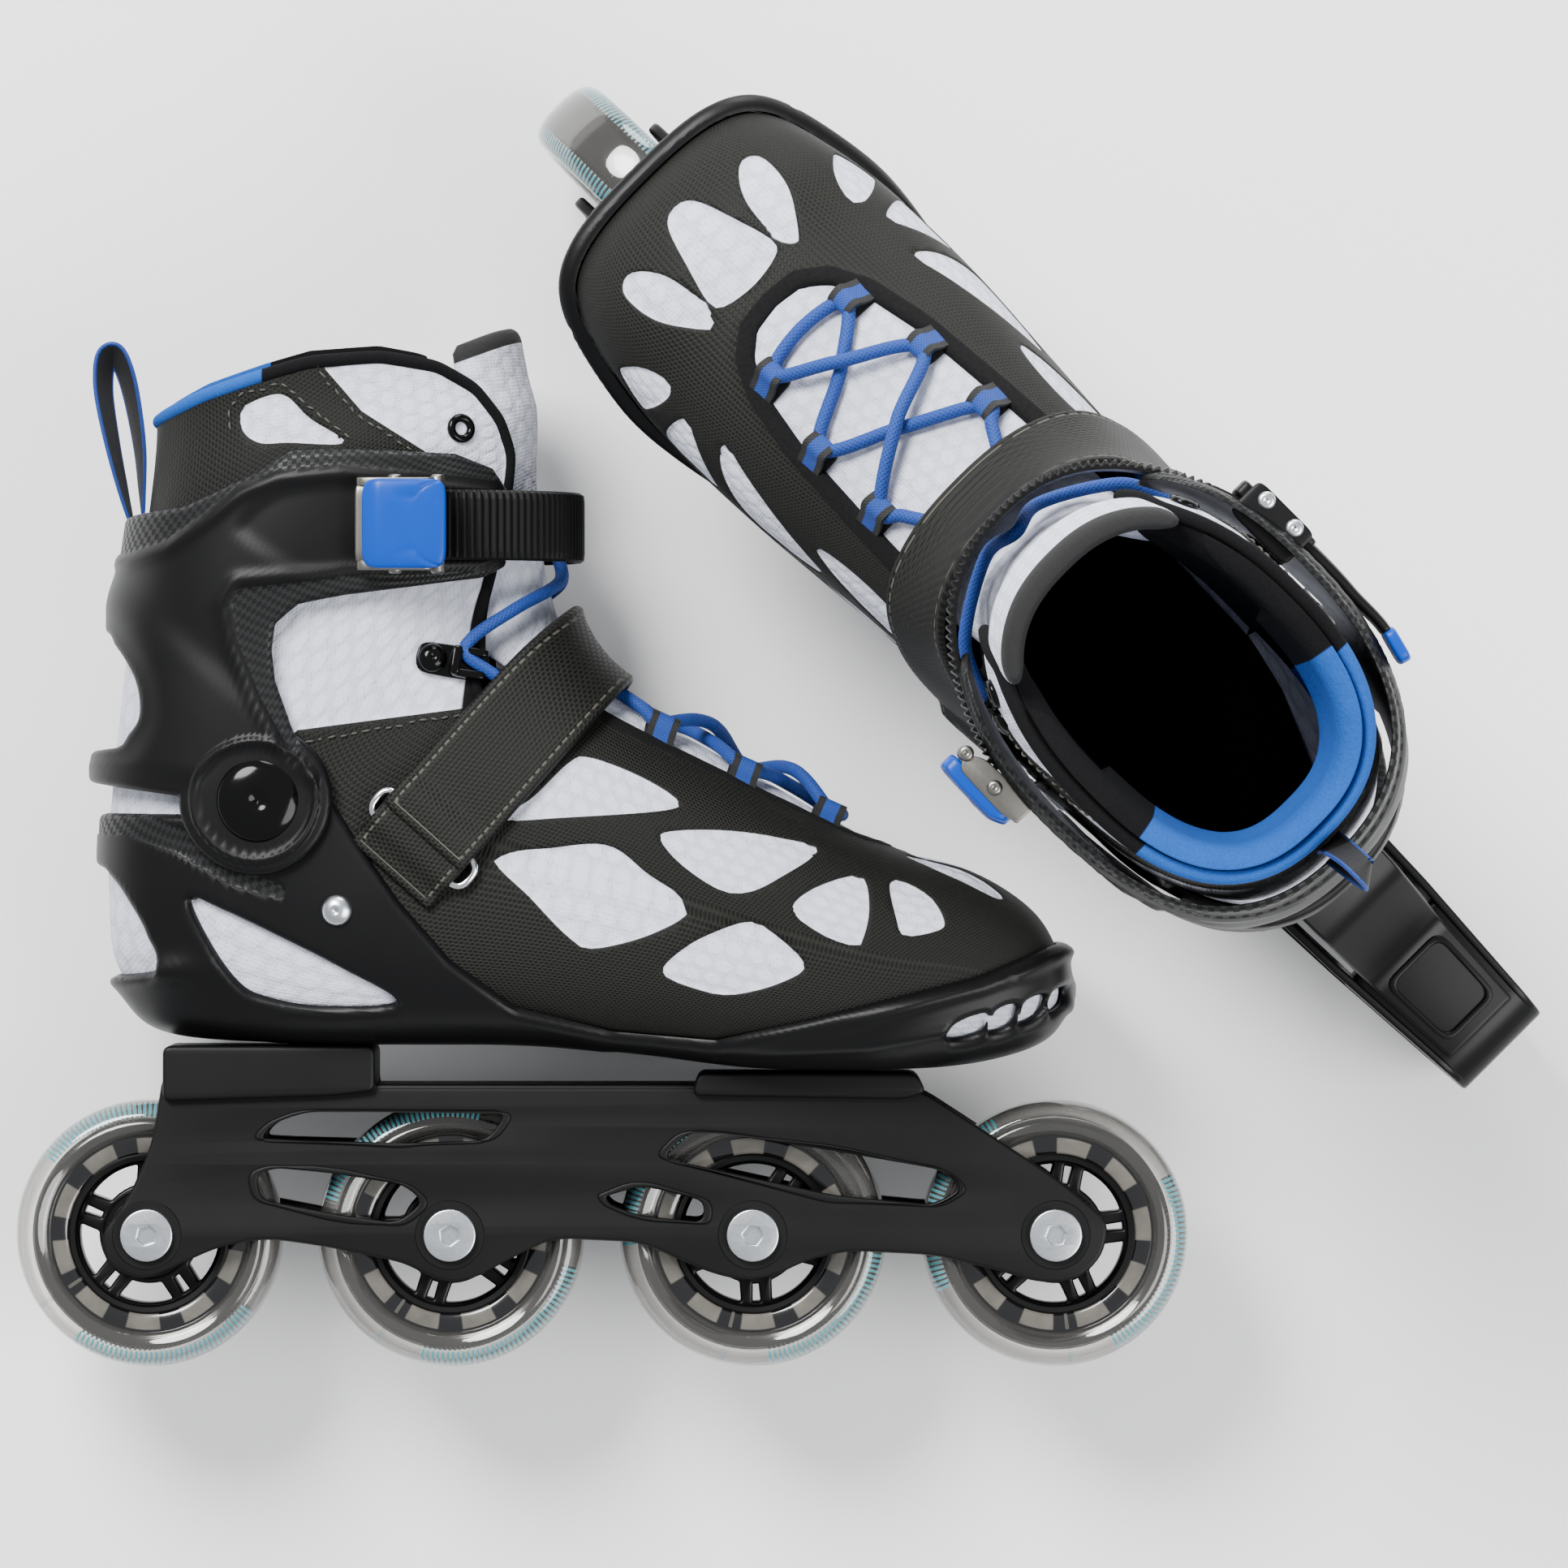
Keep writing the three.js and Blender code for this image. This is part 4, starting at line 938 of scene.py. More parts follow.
# ---- Shell and cuff ------------------------------------------------------------------------------
SHELL_EDGE = [
    (-175, 166), (-118, 165.5), (-111, 176), (-88, 184), (-71, 156.5), (-59, 139.5), (-44, 122.5),
    (-25, 109),
    (4, 101.5), (34, 99), (63, 105.5), (87, 111.5), (111, 117.5), (133, 126), (150, 130), (170, 130),
    (170, 60),
    (-175, 60),
]
SHELL_HEEL_WINDOW = [
    (-175, 151), (-150, 150), (-144, 146.5), (-139, 139.5), (-134, 130), (-133, 119), (-175, 121),
]
SHELL_SIDE_WINDOW = [
    (-121, 140.5), (-112, 137.5), (-95, 129.5), (-76, 120), (-60, 110.5), (-83, 109), (-100, 112),
    (-107.5, 116.5), (-115, 127),
]
CUFF_EDGE = [
    (-175, 252), (-143, 252.5), (-120, 256), (-100, 266), (-90.5, 272), (-73.5, 273), (-44.5, 272),
    (-34.5, 268),
    (-31, 262), (-31, 239), (-37, 235.5), (-76, 230.5), (-89, 228), (-95.5, 222), (-96.5, 214.5),
    (-95.5, 205),
    (-90.5, 190.5), (-83, 178), (-117, 170), (-155, 175.5), (-175, 176),
]
CUFF_HEEL_WINDOW = [
    (-175, 221), (-145, 219.5), (-139, 214.5), (-134, 205), (-133, 195), (-136, 189), (-142, 184.5),
    (-175, 184),
]
TOE_VENTS = [
    [(104, 104), (114, 107), (112, 101.5), (103, 99.8)],
    [(116.5, 107.6), (122.5, 109.4), (120.5, 103.6), (114.5, 102)],
    [(125, 110.2), (130.5, 112), (128.5, 106.4), (123, 104.3)],
    [(132.5, 112.8), (136.5, 114), (135.5, 109), (131, 107)],
]
SHELL_BAND = [
    (-172, 169.5), (-156.5, 169.5), (-139.8, 168.4), (-122.2, 161.1), (-106.6, 150.6), (-94, 145),
    (-91, 142),
    (-95, 140.5), (-108.7, 144.5), (-124.3, 153.9), (-139.8, 159), (-172, 159),
]
CUFF_BANDS = [
    [(-172, 257), (-143, 257), (-120, 260), (-100, 270), (-90, 276), (-40, 276), (-30, 268), (-34.9, 264.8),
     (-75.4, 268), (-94.1, 266), (-104.6, 261.8), (-113.8, 253.5), (-124.3, 245.1), (-134.7, 241.5),
     (-172, 241.5)],
    [(-31, 240), (-37, 237.6), (-76, 236.6), (-92, 234.4), (-105, 232.8), (-107.6, 228), (-105.5, 216),
     (-99.6, 200), (-91, 184), (-84, 178), (-90, 190), (-95.5, 205), (-96.5, 214.5), (-95.5, 222),
     (-89, 228),
     (-76, 230.5), (-37, 235.5)],
]


def side_depth(skin, edge, windows=(), bosses=()):
    """Signed distance into a side-view outline with windows cut from it and round bosses added."""
    x, z = skin.side
    depth = distance_in(edge, x, z)
    for cx, cz, radius in bosses:
        depth = np.maximum(depth, radius - np.hypot(x - cx, z - cz))
    for window in windows:
        depth = np.minimum(depth, -distance_in(window, x, z))
    return depth


def base_shell(skate):
    """The moulded shell: 3 mm over the boot with quarter-round edges, a lip round the heel and along the
    toe's rim, and slanting vents at the toe."""
    skin = Skin(230, 200, 0.0, 15.0)
    x, z = skin.side
    windows = [rounded(SHELL_SIDE_WINDOW), rounded(SHELL_HEEL_WINDOW, 140)]
    vents = [rounded(v, 40) for v in TOE_VENTS]
    skin["edge"] = side_depth(skin, SHELL_EDGE, windows, [(*PIVOT, 15)])
    vent = np.max([distance_in(v, x, z) for v in vents], axis=0)
    skin["depth"] = np.minimum(skin["edge"], np.where(np.abs(skin["normal"][:, 2]) < 0.93, -vent, 9.0))
    skin["band"] = distance_in(SHELL_BAND, x, z)
    skin.split("depth", 0, keep=True)
    for level in (0.4, 1.1, 2.2):
        skin.split("depth", level)
    skin.split("band", 0)
    skin.split("band", 0.6)
    x, z = skin.side
    outer = 0.6 + 2.8 * rounding(skin["depth"], 2.2)
    heel = smoothstep(-112, -128, x) * np.exp(-(((z - 120.5) / 3.6) ** 2)) * 3.4
    rim = np.exp(-(((skin["edge"] - 3.2) / 1.8) ** 2)) * smoothstep(60, 95, x) * 1.6
    sole = smoothstep(30, 60, x) * np.exp(-(((z - np.interp(x, [30, 80, 137],
        [97, 99.5, 109])) / 1.6) ** 2)) * 1.1
    brace = smoothstep(6, 0, np.abs(distance_in([(-175, 106), (-120, 106), (-70, 101), (0, 96), (0, 70),
        (-175, 70)], x, z)))
    outer = outer + heel + rim + sole + 0.7 * brace - 0.45 * smoothstep(0, 0.6, skin["band"])
    piece = skin.make(skate, "shell", "shell", "skate", outer, 0.45, ("band",))
    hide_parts(f"{skate.side}_base_shell")


def cuff(skate):
    """The hinged cuff: 2.4 mm over its running gap, with round edges, sunken checked bands, a crease down
    the brace, a scoop behind the buckle and a raised ring at the pivot."""
    skin = Skin(200, 200, 8.0, LAST)
    x, z = skin.side
    window = rounded(CUFF_HEEL_WINDOW, 140)
    skin["depth"] = side_depth(skin, CUFF_EDGE, [window], [(*PIVOT, 22)])
    skin["band"] = np.max([distance_in(b, x, z) for b in CUFF_BANDS], axis=0)
    skin["ring"] = 19 - np.hypot(x - PIVOT[0], z - PIVOT[1])
    skin.split("depth", 0, keep=True)
    for level in (0.4, 1.1, 2.2):
        skin.split("depth", level)
    for level in (0.0, 0.6):
        skin.split("band", level)
    for level in (0.0, 1.0, 2.2):
        skin.split("ring", level)
    x, z = skin.side
    outer = 5.0 + 2.1 * rounding(skin["depth"], 2.2)
    crease = distance_in([(-175, 262), (-145, 240), (-84, 181), (-84, 150), (-175, 150)], x, z)
    brace = smoothstep(-4.5, 4.5, crease) * 1.1 - 0.4 * np.exp(-((crease / 8) ** 2))
    scoop = distance_in(rounded([(-107, 250), (-94, 262.9), (-69, 266), (-35, 264), (-35, 236),
        (-80, 234.8), (-95, 239)]), x, z)
    ring = skin["ring"]
    raised = 1.3 * smoothstep(0, 1.2, ring) - 1.5 * smoothstep(1.6, 3.4, ring)
    outer = outer + brace * smoothstep(2, 9, skin["depth"]) + raised
    outer = outer - 0.5 * smoothstep(0, 0.6, skin["band"]) - 0.9 * smoothstep(0, 5, scoop)
    outer = outer + 1.1 * np.exp(-(((skin["band"] + 2.2) / 1.6) ** 2)) * smoothstep(1.5, 4, skin["depth"])
    piece = skin.make(skate, "cuff_shell", "cuff", "shaft", np.maximum(outer, 5.0), 4.65, ("band",))
    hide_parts(f"{skate.side}_cuff")


# ---- Small solids --------------------------------------------------------------------------------
def combine(*parts):
    """One set of points and triangles from several."""
    points, faces, start = [], [], 0
    for p, f in parts:
        f = np.asarray(f)
        if f.shape[1] == 4:
            f = np.concatenate([f[:, [0, 1, 2]], f[:, [0, 2, 3]]])
        if volume(p, f) < 0:
            f = f[:, ::-1]
        points.append(p)
        faces.append(f + start)
        start += len(p)
    return np.concatenate(points), np.concatenate(faces)


def turned(profile, sides=64):
    """A closed profile of radius and height, turned about the third axis."""
    profile = np.asarray(profile, float)
    turn = np.arange(sides) * 2 * math.pi / sides
    r, h = profile[:, 0], profile[:, 1]
    points = np.stack([np.outer(np.cos(turn), r), np.outer(np.sin(turn), r), np.tile(h, (sides, 1))], -1)
    return points.reshape(-1, 3), grid_faces(sides, len(profile), True, True)


def soft_box(a, b, c, square=0.35, rows=28, columns=44):
    """A box with rounded corners: a sphere whose sines and cosines are raised to a small power."""
    tilt = np.linspace(-math.pi / 2, math.pi / 2, rows + 2)[1:-1]
    turn = np.arange(columns) * 2 * math.pi / columns
    tilt, turn = np.meshgrid(tilt, turn, indexing="ij")
    bend_ = lambda k: np.sign(k) * np.abs(k) ** square
    cosine = bend_(np.cos(tilt))
    points = np.stack([a * cosine * bend_(np.cos(turn)), b * cosine * bend_(np.sin(turn)),
        c * bend_(np.sin(tilt))], -1)
    points = np.concatenate([points.reshape(-1, 3), [[0, 0, -c], [0, 0, c]]])
    quads = grid_faces(rows, columns, close_columns=True)
    faces = [quads[:, [0, 1, 2]], quads[:, [0, 2, 3]]]
    ring = np.arange(columns)
    following = (ring + 1) % columns
    low, high = rows * columns, rows * columns + 1
    last = (rows - 1) * columns
    faces.append(np.stack([following, ring, np.full(columns, low)], 1))
    faces.append(np.stack([ring + last, following + last, np.full(columns, high)], 1))
    return points, np.concatenate(faces)


def filleted(points, radius, steps=5):
    """An outline whose corners are rounded: each corner becomes a parabola between two tangent points."""
    points = np.asarray(points, float)
    out = []
    for before, at, after in zip(np.roll(points, 1, 0), points, np.roll(points, -1, 0)):
        back, on = before - at, after - at
        reach = min(radius, 0.45 * np.linalg.norm(back), 0.45 * np.linalg.norm(on))
        a = at + back / np.linalg.norm(back) * reach
        b = at + on / np.linalg.norm(on) * reach
        t = np.linspace(0, 1, steps)[:, None]
        out.append((1 - t) ** 2 * a + 2 * t * (1 - t) * at + t**2 * b)
    return np.concatenate(out)


def circle(radius, sides=64, x=0.0, y=0.0, start=0.0):
    turn = start + np.arange(sides) * 2 * math.pi / sides
    return np.stack([x + radius * np.cos(turn), y + radius * np.sin(turn)], 1)


def moulded(outline, holes, half, bevel, steps=2):
    """A flat outline with holes, made a plate of twice half's thickness with round edges."""
    curve = bpy.data.curves.new("outline", "CURVE")
    curve.dimensions = "2D"
    curve.fill_mode = "BOTH"
    curve.extrude = half - bevel
    curve.bevel_depth = bevel
    curve.bevel_resolution = steps
    curve.offset = -bevel
    for loop in [outline, *holes]:
        line = curve.splines.new("POLY")
        line.points.add(len(loop) - 1)
        flat = np.column_stack([loop, np.zeros(len(loop)), np.ones(len(loop))])
        line.points.foreach_set("co", flat.ravel())
        line.use_cyclic_u = True
    holder = bpy.data.objects.new("outline", curve)
    mesh = bpy.data.meshes.new_from_object(holder)
    mesh.calc_loop_triangles()
    points = np.empty(len(mesh.vertices) * 3)
    mesh.vertices.foreach_get("co", points)
    faces = np.empty(len(mesh.loop_triangles) * 3, np.int32)
    mesh.loop_triangles.foreach_get("vertices", faces)
    bpy.data.meshes.remove(mesh)
    bpy.data.objects.remove(holder)
    bpy.data.curves.remove(curve)
    points, faces = points.reshape(-1, 3), faces.reshape(-1, 3)
    _, first, same = np.unique(np.round(points, 4), axis=0, return_index=True, return_inverse=True)
    faces = same.ravel()[faces]
    faces = faces[(faces[:, 0] != faces[:, 1]) & (faces[:, 1] != faces[:, 2]) & (faces[:, 2] != faces[:,
        0])]
    return points[first], faces


def side_on(part, y=0.0, x=0.0, z=0.0):
    """Puts a plate that was drawn flat into side view: its thickness runs across the skate."""
    points, faces = part
    return points[:, [0, 2, 1]] + [x, y, z], faces


def sweep(path, side, up, section, closed=False):
    """A closed section, of places across and up, carried along a path. Open ends are shut by a cap.
    The map runs along the path and round the section, in millimetres."""
    path, section = np.asarray(path, float), np.asarray(section, float)
    count = len(path)
    if section.ndim == 2:
        section = np.broadcast_to(section, (count, *section.shape))
    around = section.shape[1]
    points = path[:, None] + section[..., :1] * side[:, None] + section[..., 1:] * up[:, None]
    steps = np.linalg.norm(np.diff(path, axis=0), axis=1)
    along = np.concatenate([[0], np.cumsum(steps)])
    ring = np.concatenate([[0], np.cumsum(np.linalg.norm(np.diff(section[count // 2], axis=0), axis=1))])
    uv = np.stack(np.meshgrid(along, ring, indexing="ij"), -1).reshape(-1, 2)
    quads = grid_faces(count, around, close_rows=closed, close_columns=True)
    faces = np.concatenate([quads[:, [0, 1, 2]], quads[:, [0, 2, 3]]])
    points = points.reshape(-1, 3)
    if not closed:
        caps = []
        for first, turn in ((0, 1), ((count - 1) * around, -1)):
            middle = points[first : first + around].mean(0)
            points = np.concatenate([points, [middle]])
            uv = np.concatenate([uv, uv[first : first + 1]])
            ids = first + np.arange(around)
            cap = np.stack([np.roll(ids, -1), ids, np.full(around, len(points) - 1)], 1)
            caps.append(cap[:, ::turn])
        faces = np.concatenate([faces] + caps)
    return points, faces, uv


def guide(path, hint, closed=False):
    """Directions across and up at each place on a path: across is square to the path and the hint."""
    path = np.asarray(path, float)
    if closed:
        tangent = np.roll(path, -1, 0) - np.roll(path, 1, 0)
    else:
        tangent = np.gradient(path, axis=0)
    tangent /= np.linalg.norm(tangent, axis=1, keepdims=True)
    side = np.cross(np.broadcast_to(hint, path.shape), tangent)
    side /= np.maximum(np.linalg.norm(side, axis=1, keepdims=True), 1e-9)
    return side, np.cross(tangent, side)


def cord(path, radius, hint, closed=False, sides=14, taper=True):
    """A round cord along a path. Its open ends are domed."""
    side, up = guide(path, hint, closed)
    turn = np.arange(sides) * 2 * math.pi / sides
    ring = radius * np.stack([np.cos(turn), np.sin(turn)], 1)
    size = np.ones(len(path))
    if not closed and taper:
        size[[0, -1]] = 0.35
        size[[1, -2]] = 0.85
    return sweep(path, side, up, ring[None] * size[:, None, None], closed)


def put(points, origin, ex, ey, ez):
    """Points drawn in a local frame, moved to a place on the skate."""
    return origin + points @ np.array([ex, ey, ez])


def on_side(x, z, way):
    """The boot's surface at a side-view place: way is 1 for the outer side and -1 for the inner. Gives
    the point, then directions towards the toe, upwards and outwards."""
    s, v = nearest(x, z)
    s, v = np.array(s), np.array(v * way)
    point, normal = boot_point(s, v), boot_normal(s, v)
    ex = np.array([1.0, 0, 0]) - normal * normal[0]
    ex /= np.linalg.norm(ex)
    ez = np.cross(normal, ex)
    ez = ez if ez[2] > 0 else -ez
    return point, ex, ez, normal


def on_vamp(x, y):
    """Points and outward directions on the boot's top, from places seen from above."""
    x, y = np.broadcast_arrays(np.asarray(x, float), np.asarray(y, float))
    low, high = np.full(x.shape, 2.0), np.full(x.shape, 12.0)
    for _ in range(30):
        s = (low + high) / 2
        half = np.interp(s, np.arange(LAST + 1), SECTIONS[:, 4])
        v = np.arcsin(np.clip((np.abs(y) / half) ** 1.2, 0, 1)) * np.sign(y)
        ahead = boot_point(s, v)[..., 0] > x
        low, high = np.where(ahead, s, low), np.where(ahead, high, s)
    return boot_point(s, v), boot_normal(s, v)


# ---- Straps --------------------------------------------------------------------------------------
RING = np.array([-51.0, 160.0])  # the power strap's ring, in side view
STRAP_WAY = np.array([47.0, 53.0]) / math.hypot(47.0, 53.0)


def strap_places(skin):
    """How far each point lies along the strap from its ring, and across from its middle."""
    flat = np.stack(skin.side, 1) - RING
    return flat @ STRAP_WAY, flat @ np.array([-STRAP_WAY[1], STRAP_WAY[0]])


def power_strap(skate):
    """Embossed strap over the instep: a band of the boot's surface 31 mm wide and 2.4 mm thick with
    rolled edges, which rides up over the laces, and a short anchor behind the ring."""
    skin = Skin(240, 230, 4.0, 16.0)
    along, across = strap_places(skin)
    ahead = skin["point"][:, 0] > -100
    for name, first, last in (("instep_strap", -2.0, 200.0), ("strap_anchor", -17.0, 3.5)):
        part = Skin.__new__(Skin)
        part.faces, part.values = skin.faces, dict(skin.values)
        edge = 15.5 - np.abs(across)
        ends = np.minimum(along - first, last - along)
        part["depth"] = np.where(ahead, np.minimum(edge, ends), -5.0)
        part["stitch"] = np.minimum(edge, np.where(ends < 8, ends, 50)) - 2.6
        part["map"] = np.stack([along, across], 1)
        part["along"] = along
        part.split("depth", 0, keep=True)
        for level in (0.3, 0.9, 1.8):
            part.split("depth", level)
        lift = 0.6 + (1.6 if name == "instep_strap" else 0.0)
        fold = smoothstep(13, 6, part["along"]) if name == "instep_strap" else smoothstep(-13, -7,
            part["along"])
        lift = lift + 1.9 * smoothstep(40, 62, part["along"]) + 2.2 * fold
        outer = lift + 0.5 + 1.7 * rounding(part["depth"], 1.4)
        piece = part.make(skate, name, "strap", "skate", outer, lift, ("stitch",))
        if name == "instep_strap":
            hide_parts(f"{skate.side}_power_strap")


def strap_ring(skate):
    """A bright wire ring with round corners, lying square across the strap on each side."""
    for way, label in ((-1, "inner"), (1, "outer")):
        point, ex, ez, normal = on_side(RING[0] - 1.0, RING[1] - 1.0, way)
        long_way = ex * -STRAP_WAY[1] + ez * STRAP_WAY[0]
        short_way = ex * STRAP_WAY[0] + ez * STRAP_WAY[1]
        loop = filleted([(-18.2, -4.6), (18.2, -4.6), (18.2, 4.6), (-18.2, 4.6)], 4.2, 7)
        path = point + normal * 2.4 + loop[:, :1] * long_way + loop[:, 1:] * short_way
        points, faces, _ = cord(path, 1.25, normal, closed=True)
        piece = new_mesh(skate, f"strap_ring_{label}", points, faces, MATERIALS["chrome"], "skate")


LADDER_HEIGHT = 251.0


def level_path(height, offset, v_from, v_to, samples):
    """A path round the boot at one height, offset outwards, evenly spaced."""
    v = np.linspace(v_from, v_to, 900)
    low, high = np.full(v.shape, 9.0), np.full(v.shape, float(LAST))
    for _ in range(34):
        s = (low + high) / 2
        above = boot_point(s, v)[:, 2] > height
        low, high = np.where(above, low, s), np.where(above, s, high)
    normal = boot_normal(s, v)
    normal[:, 2] = 0
    normal /= np.linalg.norm(normal, axis=1, keepdims=True)
    point = boot_point(s, v) + normal * offset
    point[:, 2] = height
    length = np.concatenate([[0], np.cumsum(np.linalg.norm(np.diff(point, axis=0), axis=1))])
    even = np.linspace(0, length[-1], samples)
    pick = lambda k: np.stack([np.interp(even, length, k[:, i]) for i in range(3)], 1)
    return pick(point), pick(normal), even


def ladder_strap(skate):
    """The ratchet strap: a band round the tongue at one height, 24 mm wide, whose outside is cut into
    saw teeth 2.4 mm apart. It thickens at the pin on the outer side."""
    path, normal, length = level_path(LADDER_HEIGHT, 7.7, -1.62, 1.62, 700)
    keep = path[:, 0] > -57.5
    path, normal, length = path[keep], normal[keep], length[keep]
    wide = 10.4
    tooth = (length / 2.4) % 1.0
    height = 1.5 + 1.3 * smoothstep(0.0, 0.75, tooth) * smoothstep(1.0, 0.85, tooth)
    smooth = smoothstep(12, 20, length[-1] - length)
    height = 1.5 + (height - 1.5) * smooth + 1.0 * (1 - smooth)
    corner = np.array([(-1, 0.0), (-1.0, 0.55), (-0.93, 0.92), (-0.75, 1.0), (0.75, 1.0), (0.93, 0.92),
        (1.0, 0.55), (1, 0.0)])
    section = np.stack([
        np.broadcast_to(corner[:, 0] * wide, (len(path), 8)),
        corner[None, :, 1] * height[:, None],
    ], -1)
    up = np.tile([0.0, 0, 1], (len(path), 1))
    points, faces, uv = sweep(path, up, normal, section)
    pin = turned([(0.01, -10.4), (3, -10.4), (3, 10.4), (0.01, 10.4)], 32)
    pin = (pin[0] + [-57.0, 54.9, LADDER_HEIGHT], pin[1])
    link = soft_box(5, 2.6, 10.4, 0.3)
    link = (link[0] + [-53.5, 52.9, LADDER_HEIGHT], link[1])
    points, faces = combine((points, faces), pin, link)
    piece = new_mesh(skate, "ratchet_strap", points, faces, MATERIALS["ladder"], "ladder", smooth=False)
    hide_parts(f"{skate.side}_ladder_strap")


def buckle(skate):
    """The receiver on the inner side: two pressed cheeks with their pins, and a glossy release lever
    with a shallow arc pressed into its face."""
    cheek = filleted([(-71.5, -58.0), (-66, -59.4), (-49.5, -58.8), (-47.6, -55.0), (-52, -51.5),
        (-71.5, -51.0)], 2.4)
    plates = []
    for way in (-1, 1):
        p, f = moulded(cheek, [], 1.3, 0.4)
        plates.append((p + [0, 0, LADDER_HEIGHT + way * 12.3], f))
    for x, y in ((-60.0, -55.4), (-47.6, -54.2)):
        head = [(0.01, -14.6), (1.6, -14.6), (2.2, -14.0), (2.2, 14.0), (1.6, 14.6), (0.01, 14.6)]
        p, f = turned(head, 24)
        plates.append((p + [x, y, LADDER_HEIGHT], f))
    base = soft_box(3.2, 3.6, 11.6, 0.25)
    plates.append((base[0] + [-68.6, -54.6, LADDER_HEIGHT], base[1]))
    points, faces = combine(*plates)
    piece = new_mesh(skate, "receiver", points, faces, MATERIALS["dark_steel"], "shaft")
    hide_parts(f"{skate.side}_buckle_body")
    p, f = soft_box(12.4, 13.2, 3.0, 0.28, 60, 90)
    u, w = p[:, 0], p[:, 1]
    top = smoothstep(0.2, 2.4, p[:, 2])
    arc = np.abs(np.hypot(u - 13.0, w) - 13.0)
    sink = 0.35 * smoothstep(0.2, -0.4, np.hypot(u - 13.0, w) - 13.0) + 0.35 * np.exp(-((arc / 0.5) ** 2))
    p[:, 2] += top * (1.3 * np.cos(u / 16) + 0.8 * np.cos(w / 11) - 1.7 - sink)
    p[:, 2] -= 1.2 * smoothstep(-7, -12.4, u)
    points = put(p, np.array([-57.2, -59.6, LADDER_HEIGHT]), [1, 0, 0], [0, 0, 1], [0, -1, 0])
    piece = new_mesh(skate, "release_button", points, f, MATERIALS["lever"], "release")
    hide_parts(f"{skate.side}_release_lever")


def closing_lever(skate):
    """The lever on the outer side: a long curved grip with a blue tip, two cheeks and a bright rivet."""
    path, normal, length = level_path(LADDER_HEIGHT, 9.3, 1.3, 2.75, 260)
    keep = (path[:, 0] < -70.5) & (path[:, 0] > -108)
    path, normal, length = path[keep], normal[keep], length[keep]
    t = np.linspace(0, 1, len(path))
    wide = 10.4 - 2.2 * t**2
    thick = 2.4 - 0.9 * t
    turn = np.arange(28) * 2 * math.pi / 28
    ring = np.stack([np.sign(np.cos(turn)) * np.abs(np.cos(turn)) ** 0.4,
        np.sign(np.sin(turn)) * np.abs(np.sin(turn)) ** 0.6], 1)
    ends = np.sqrt(np.clip(1 - (1 - np.clip(np.minimum(t, 1 - t) / 0.06, 0, 1)) ** 2, 0.05, 1))
    section = ring[None] * np.stack([wide * ends, thick * ends], 1)[:, None]
    up = np.tile([0.0, 0, 1], (len(path), 1))
    lift = (0.2 + 1.9 * smoothstep(0.55, 1.0, t))[:, None]
    points, faces, uv = sweep(path + normal * lift, up, normal, section)
    bar = turned([(0.01, -10.3), (3, -10.3), (3, 10.3), (0.01, 10.3)], 32)
    bar = (bar[0] + [-68.0, 54.9, LADDER_HEIGHT], bar[1])
    neck = soft_box(4.2, 2.3, 10.0, 0.3)
    neck = (neck[0] + [-71.2, 54.9, LADDER_HEIGHT], neck[1])
    points, faces = combine((points, faces), bar, neck)
    piece = new_mesh(skate, "closing_grip", points, faces, MATERIALS["ladder"], "closing")
    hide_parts(f"{skate.side}_closing_lever")
    tip = path[-1] + normal[-1] * (lift[-1] + 0.4)
    p, f = soft_box(5.5, 9.2, 2.0, 0.4)
    direction = path[-1] - path[-6]
    direction /= np.linalg.norm(direction)
    points = put(p, tip + direction * 3.2, direction, np.array([0, 0, 1.0]), normal[-1])
    piece = new_mesh(skate, "grip_tip", points, f, MATERIALS["lever"], "closing")


def pins(skate):
    """The two pins in the cuff's lugs on the outer side, with domed heads."""
    parts = []
    for x in (-57.0, -68.0):
        head = [(0.01, -15.2), (1.8, -15.2), (2.6, -14.6), (2.6, -14.1), (1.5, -14.0), (1.5, 14.0),
            (2.6, 14.1),
                (2.6, 14.6), (1.8, 15.2), (0.01, 15.2)]
        p, f = turned(head, 28)
        parts.append((p + [x, 54.9, LADDER_HEIGHT], f))
    lug = soft_box(11.0, 6.2, 1.75, 0.25)
    lugs = [(lug[0] + [-62.5, 51.6, LADDER_HEIGHT + way * 12.7], lug[1]) for way in (-1, 1)]
    points, faces = combine(*parts)
    piece = new_mesh(skate, "lug_pins", points, faces, MATERIALS["steel"], "shaft")
    points, faces = combine(*lugs)
    piece = new_mesh(skate, "cuff_lugs", points, faces, MATERIALS["shell"], "shaft")


# ---- Laces, loops, hooks, tab and rivets ---------------------------------------------------------
LACE_LOOPS = ((67.0, 14.5), (42.0, 20.0), (17.5, 20.5))  # along the throat, and half the gap


